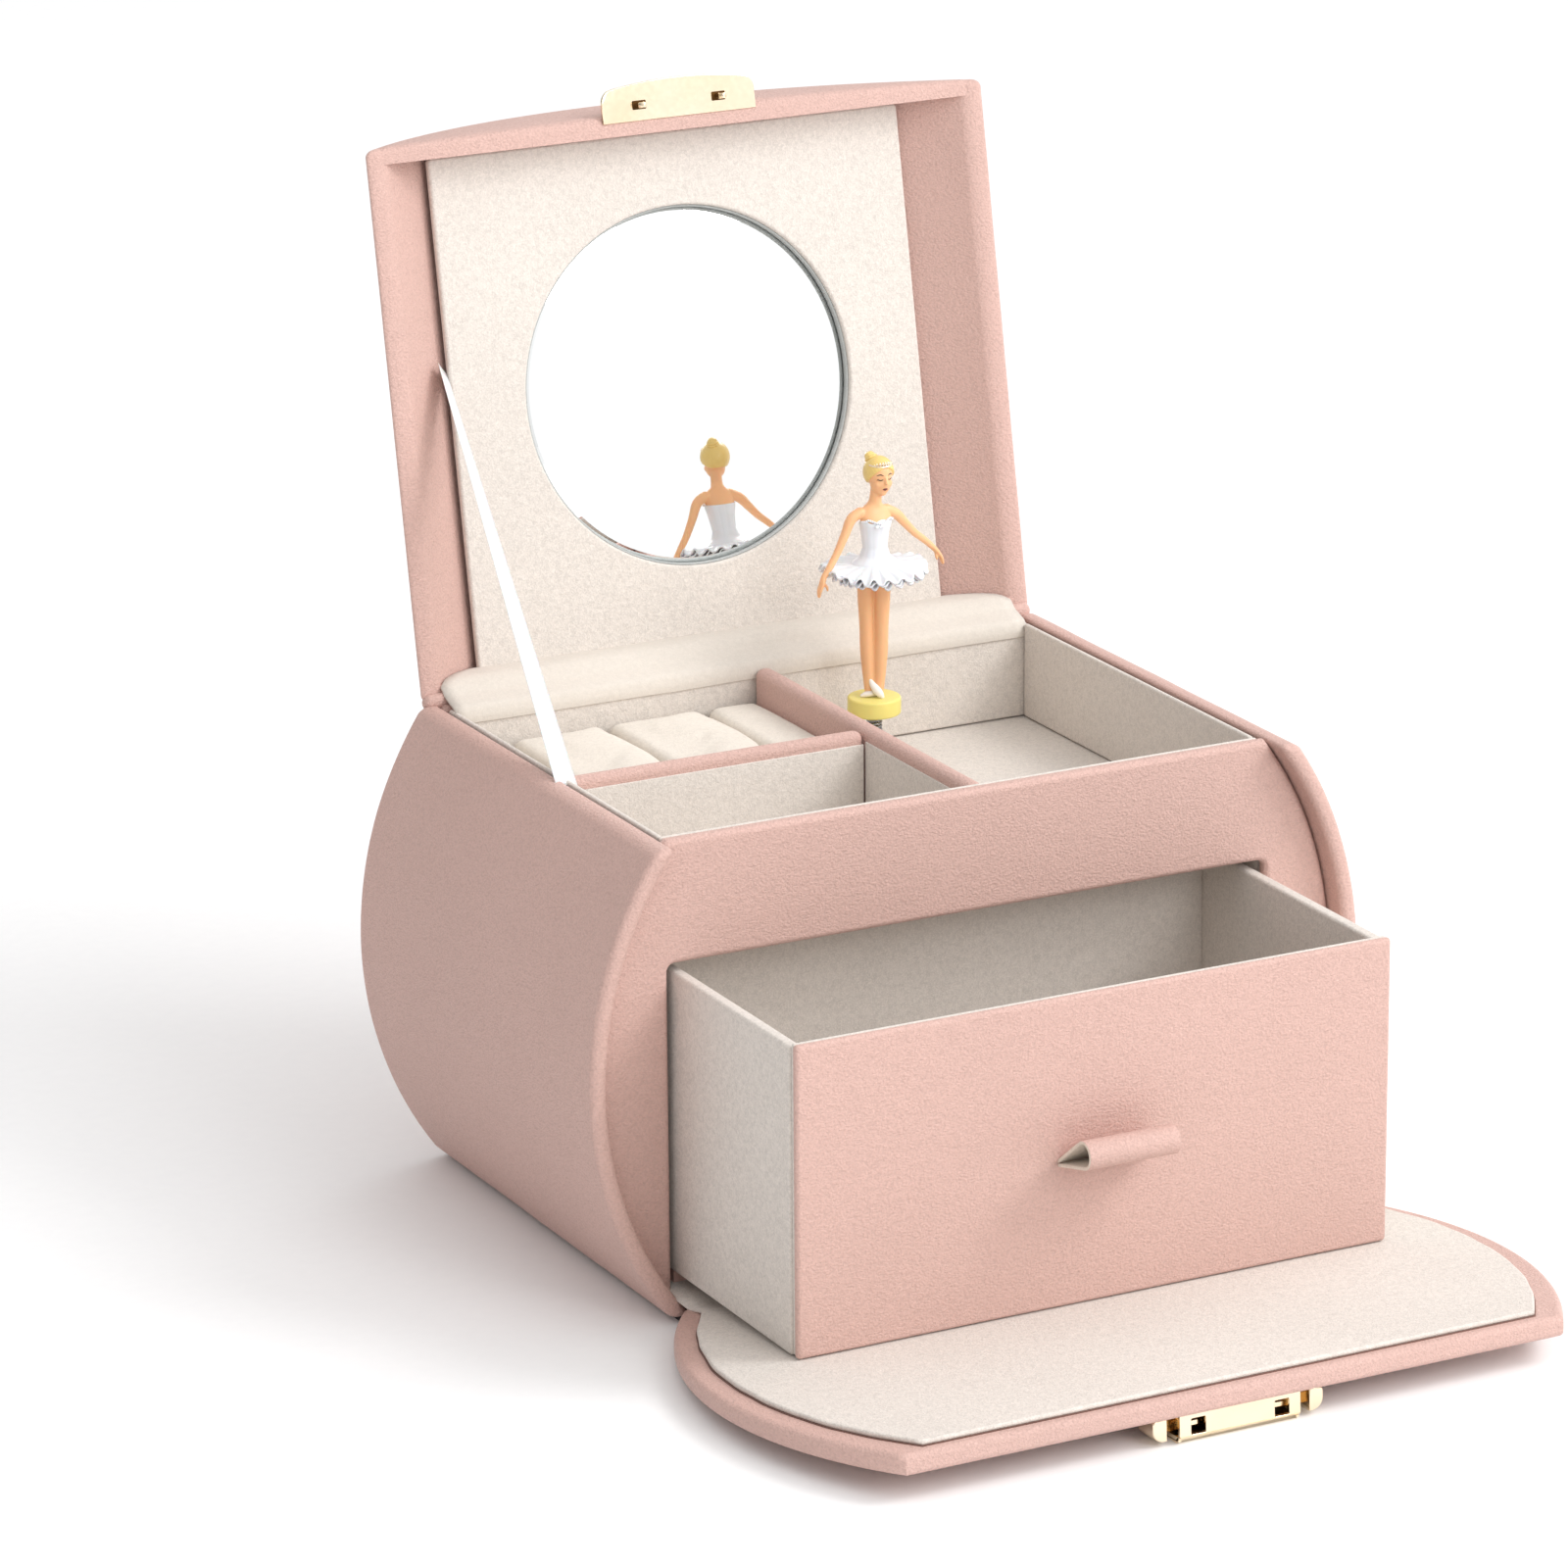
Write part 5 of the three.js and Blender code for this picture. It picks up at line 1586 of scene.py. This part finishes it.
def face_strokes(skin):
    """Closed lids with lashes, brows and lips, laid on the face as thin raised strokes."""
    to_world = TO_FIGURE @ TO_HEAD
    inward = (to_world.to_3x3() @ Vector((0, 1, 0))).normalized()
    lift = 0.02

    def on_face(x, z):
        start = (to_world @ Vector((x, -9.0, z))) * MM
        hit, spot, normal, _ = skin.ray_cast(start, inward)
        return spot / MM + normal * lift if hit else start / MM

    def stroke(form, points, thick):
        line = spline([(x, 0.0, z) for x, z in points], 5)
        path = []
        for i, (x, _, z) in enumerate(line):
            taper = math.sin(math.pi * min(max(i / (len(line) - 1), 0.08), 0.92))
            path.append([*on_face(x, z), thick * (0.35 + 0.65 * taper)])
        rounded_rod(form, path, 8, dome=2)

    ink = Form()
    for side in (-1, 1):
        stroke(ink, [(side * 0.62, 0.28), (side * 1.15, 0.06), (side * 1.75, 0.3)], 0.11)
        for k in range(4):
            x = 0.75 + 0.3 * k
            drop = 0.1 + 0.02 * k
            lash = [(side * x, 0.16), (side * (x + 0.07), 0.16 - drop), (side * (x + 0.16), 0.1 - drop)]
            stroke(ink, lash, 0.05)
        stroke(ink, [(side * 0.6, 1.15), (side * 1.2, 1.42), (side * 1.85, 1.12)], 0.12)
    finish_piece(ink.piece("dancer_lashes", INK), "figure", "figure")
    lips = Form()
    stroke(lips, [(-0.55, -1.98), (-0.22, -1.88), (0.0, -1.93), (0.22, -1.88), (0.55, -1.98)], 0.16)
    stroke(lips, [(-0.48, -2.04), (0.0, -2.16), (0.48, -2.04)], 0.17)
    finish_piece(lips.piece("dancer_lips", LIP), "figure", "figure")


def dancer_hair():
    """Combed hair drawn up to a bun, with a small tiara over the brow."""
    rows = 64
    columns = 96
    side_way = BUN_WAY.cross(Vector((0, 1, 0))).normalized()
    other_way = BUN_WAY.cross(side_way)
    points = []
    for i in range(rows + 1):
        polar = math.pi * min(max(i / rows, 0.003), 0.997)
        for k in range(columns):
            spin = 2 * math.pi * k / columns
            way = (
                BUN_WAY * math.cos(polar)
                + side_way * math.sin(polar) * math.cos(spin)
                + other_way * math.sin(polar) * math.sin(spin)
            )
            cover = smooth_step((0.9 * way.z + way.y + 0.34 * abs(way.x) + 0.36) / 0.16)
            strand = 0.045 * math.sin(30 * spin) * math.sin(polar) * cover
            thick = -0.35 + 0.72 * cover + strand
            points.append(CRANIUM_AT + Vector(w * (r + thick) for w, r in zip(way, CRANIUM)))
    form = Form()
    faces = grid_faces(rows + 1, columns, around=True)
    faces.append(list(range(columns)))
    faces.append([rows * columns + k for k in range(columns)])
    form.add(points, faces)
    knot = CRANIUM_AT + BUN_WAY * 3.9
    ball(form, knot, (1.25, 1.25, 1.15), 28)
    for turn in range(3):
        ring = []
        lift = BUN_WAY * (-0.35 + 0.5 * turn)
        reach = 1.2 - 0.28 * turn
        for k in range(30):
            spin = 2 * math.pi * k / 29
            spot = knot + lift + (side_way * math.cos(spin) + other_way * math.sin(spin)) * reach
            ring.append([*spot, 0.32 + 0.05 * math.sin(7 * spin)])
        rounded_rod(form, ring, 10)
    hair = form.moved(TO_FIGURE @ TO_HEAD).piece("dancer_hair", HAIR)
    finish_piece(hair, "figure", "figure")
    tiara = Form()
    for k in range(-4, 5):
        lean = math.radians(13 * k)
        height = 0.95 - 0.05 * k * k
        foot = CRANIUM_AT + Vector((math.sin(lean) * 2.6, -math.cos(lean) * 2.75, 2.2))
        tip = foot + Vector((math.sin(lean) * 0.15, -math.cos(lean) * 0.1, height))
        rounded_rod(tiara, [[*foot, 0.34, 0.2], [*((foot + tip) / 2), 0.42, 0.2], [*tip, 0.22, 0.15]], 10)
    band = []
    for k in range(-12, 13):
        lean = math.radians(6.5 * k)
        band.append([*(CRANIUM_AT + Vector((math.sin(lean) * 2.72, -math.cos(lean) * 2.86, 2.1))), 0.24])
    rounded_rod(tiara, band, 10)
    crown = tiara.moved(TO_FIGURE @ TO_HEAD).piece("dancer_tiara", GOLD)
    finish_piece(crown, "figure", "gold")


def torso_at(z):
    """The torso's centre line and half widths at a height."""
    for a, b in zip(TORSO, TORSO[1:]):
        if a[2] <= z <= b[2]:
            share = (z - a[2]) / (b[2] - a[2])
            return [p + (q - p) * share for p, q in zip(a, b)]
    return list(TORSO[0] if z < TORSO[0][2] else TORSO[-1])


def neckline(spin):
    """Height of the bodice's top edge round the body: two lobes in front, lower behind."""
    front = -math.sin(spin)
    lobes = 0.75 * math.cos(2 * (spin + math.pi / 2) * 2.2) if front > 0.55 else -0.3
    dip = 0.35 * smooth_step((front - 0.55) / 0.45) + 0.5 * lobes * smooth_step((front - 0.55) / 0.2)
    return 44.6 + 0.55 * front - dip


def dancer_bodice():
    """A seamed bodice that flares at the waist, beads along its neckline and a bow in front."""
    columns = 72
    rows = 30
    waist = 34.3
    points = []
    for i in range(rows + 1):
        share = i / rows
        for k in range(columns):
            spin = 2 * math.pi * k / columns
            z = waist + (neckline(spin) - waist) * share
            x, y, _, wide, deep = torso_at(z)
            flare = 1.7 * (1 - smooth_step(share / 0.24))
            seam = 0.06 * math.cos(spin * 6) ** 8
            reach = 0.28 + flare - seam
            points.append((x + (wide + reach) * math.cos(spin), y + (deep + reach) * math.sin(spin), z))
    form = Form().add(points, grid_faces(rows + 1, columns, around=True))
    bodice = thickened(form.moved(TO_FIGURE).piece("dancer_bodice", WHITE), 0.45, offset=-1.0)
    finish_piece(bodice, "figure", "figure")
    trim = Form()
    beads = 21
    for k in range(beads):
        spin = math.radians(-160 + 140 * k / (beads - 1))
        z = neckline(spin)
        x, y, _, wide, deep = torso_at(z)
        spot = (x + (wide + 0.42) * math.cos(spin), y + (deep + 0.42) * math.sin(spin), z - 0.1)
        ball(trim, spot, (0.3, 0.3, 0.3), 12)
    front_y = -torso_at(43.6)[4] - 0.55
    for side in (-1, 1):
        lean = Matrix.Rotation(side * 0.35, 3, "Y")
        ball(trim, (side * 0.62, front_y, 43.75), (0.62, 0.32, 0.42), 16, turn=lean)
    ball(trim, (0.0, front_y - 0.15, 43.7), (0.28, 0.25, 0.3), 12)
    finish_piece(trim.moved(TO_FIGURE).piece("dancer_trim", WHITE), "figure", "figure")


def dancer_tutu():
    """Three ruffled layers of net, stiff and moulded, whose edges wave more towards the rim."""
    columns = 360
    rows = 18
    for layer in range(3):
        reach = 11.9 - 0.5 * layer
        top = 34.9 - 0.62 * layer
        waves = 21 + 2 * layer
        points = []
        for i in range(rows + 1):
            share = i / rows
            for k in range(columns):
                spin = 2 * math.pi * k / columns
                phase = waves * spin + 2.1 * layer + 0.8 * math.sin(3 * spin + layer)
                edge = share ** 2.4
                uneven = 1 + 0.3 * math.sin(5 * spin + 2 * layer)
                radius = 3.0 + (reach - 3.0) * share + 0.34 * edge * uneven * math.cos(phase + 1.1)
                fold = 0.62 * edge * uneven * math.sin(phase) + 0.05 * share * math.sin(3 * phase)
                lift = 1.1 * edge * max(0.0, math.cos(2 * spin)) ** 2  # the two sides curl up
                z = top - 1.5 * share ** 1.5 + fold + lift
                points.append((radius * math.cos(spin), radius * math.sin(spin), z))
        form = Form().add(points, grid_faces(rows + 1, columns, around=True))
        skirt = thickened(form.moved(TO_FIGURE).piece(f"tutu_layer_{layer + 1}", WHITE), 0.34)
        finish_piece(skirt, "figure", "figure")


def dancer_shoes():
    """One slipper on point and one laid across it."""
    standing = [
        (-0.9, -1.1, 8.0, 0.35, 0.3), (-0.3, -1.45, 6.9, 0.75, 0.6), (0.7, -1.9, 5.6, 0.95, 0.8),
        (1.45, -2.2, 4.75, 0.75, 0.6), (1.7, -2.3, 4.45, 0.5, 0.4),
    ]
    laid = [
        (0.9, -0.5, 4.75, 0.7, 0.7), (-0.6, -0.9, 4.8, 0.85, 0.75),
        (-1.9, -1.3, 4.7, 0.75, 0.65), (-2.8, -1.5, 4.5, 0.4, 0.4),
    ]
    form = Form()
    for slipper in (standing, laid):
        rounded_rod(form, spline(slipper, 5), 18)
    shoes = form.moved(TO_FIGURE @ FEET_TURN).piece("dancer_shoes", SHOE)
    finish_piece(shoes, "figure", "figure")


def figure_disc():
    edge = 0.55
    top = FIGURE_HIGH.z - FIGURE_LOW.z
    radius = (FIGURE_HIGH.x - FIGURE_LOW.x) / 2
    profile = [(0.0, 0.0), (radius - edge, 0.0)]
    profile += arc(radius - edge, edge, edge, -90, 0, 5)[1:]
    profile += arc(radius - edge, top - edge, edge, 0, 90, 5)
    profile += [(radius * 0.5, top + 0.02), (0.0, top + 0.03)]
    form = lathe(Form(), profile, 72)
    disc = form.moved(TO_FIGURE).piece("figure_disc", YELLOW)
    finish_piece(disc, "figure", "figure_base", "figure_base")


def figure_spring():
    low, high = span("ballerina_spring")
    wire = 0.3
    turns = 6
    steps = 26 * turns
    line = []
    for i in range(steps + 1):
        spin = 2 * math.pi * turns * i / steps
        rise = low.z + wire + (high.z + SEAM - low.z - 2 * wire) * i / steps
        line.append([SPINDLE.x + 1.5 * math.cos(spin), SPINDLE.y + 1.5 * math.sin(spin), rise, wire])
    spring = rounded_rod(Form(), line, 10, dome=2).piece("figure_coil_spring", STEEL)
    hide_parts("ballerina_spring")
    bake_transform(spring)


def build_dancer():
    skin = dancer_body()
    face_strokes(skin)
    finish_piece(skin, "figure", "figure", "ballerina_figure")
    dancer_hair()
    dancer_bodice()
    dancer_tutu()
    dancer_shoes()
    figure_disc()
    figure_spring()


# ---------------------------------------------------------------- movement

def winding_key():
    """Two ring-shaped wings on a bridge, over a hub that fits the arbor."""
    low, high = span("winding_key")
    centre = (low + high) / 2
    form = Form()
    for side in (-1, 1):
        outer = arc(side * 7.5, 0.0, 5.2, 0, 360 - 360 / 48, 47)
        hole = arc(side * 8.0, 0.0, 2.4, 360, 360 / 32, 31)
        wing = rounded_plate(outer, 0.0, 1.6, 0.6, upright, holes=[hole], corner=4)
        form.join(wing.moved(Matrix.Translation(Vector((0, high.y - 2.6, 0)))))
    raised = Vector((0, high.y - 1.8, 0))
    form.join(rounded_block((4.0, 0.8, 2.4), 0.5, (4, 1, 3), lambda p: Vector(p) + raised))
    hub = [
        (1.2, 0.0), (2.6, 0.0), (3.0, 0.4), (3.0, 6.6), (3.4, 7.2),
        (3.4, 9.1), (2.9, 9.6), (1.2, 9.6), (1.2, 0.0),
    ]
    form.join(lathe(Form(), hub, 40).moved(Matrix.Translation(Vector((0, low.y, 0))) @ TO_BACK))
    form.moved(Matrix.Translation(Vector((centre.x, 0, centre.z))))
    finish_piece(form.piece("winding_key_brass", BRASS, crisp=40), "key", "brass", "winding_key")


def build_movement():
    winding_key()
    brass = (
        "bearing_plate_left", "bearing_plate_right", "spindle_bracket", "comb_block",
        "spindle_bush", "spring_barrel", "music_cylinder", "governor_fly",
    )
    steel = (
        "bedplate", "comb", "movement_screw_1", "movement_screw_2",
        "mainspring", "winding_arbor", "spindle",
    )
    for node in brass:
        dress(node, BRASS)
    for node in steel:
        dress(node, STEEL)


# ---------------------------------------------------------------- the whole box

build_stage()
build_case()
build_lid()
build_drawer()
build_flap()
build_dancer()
build_movement()
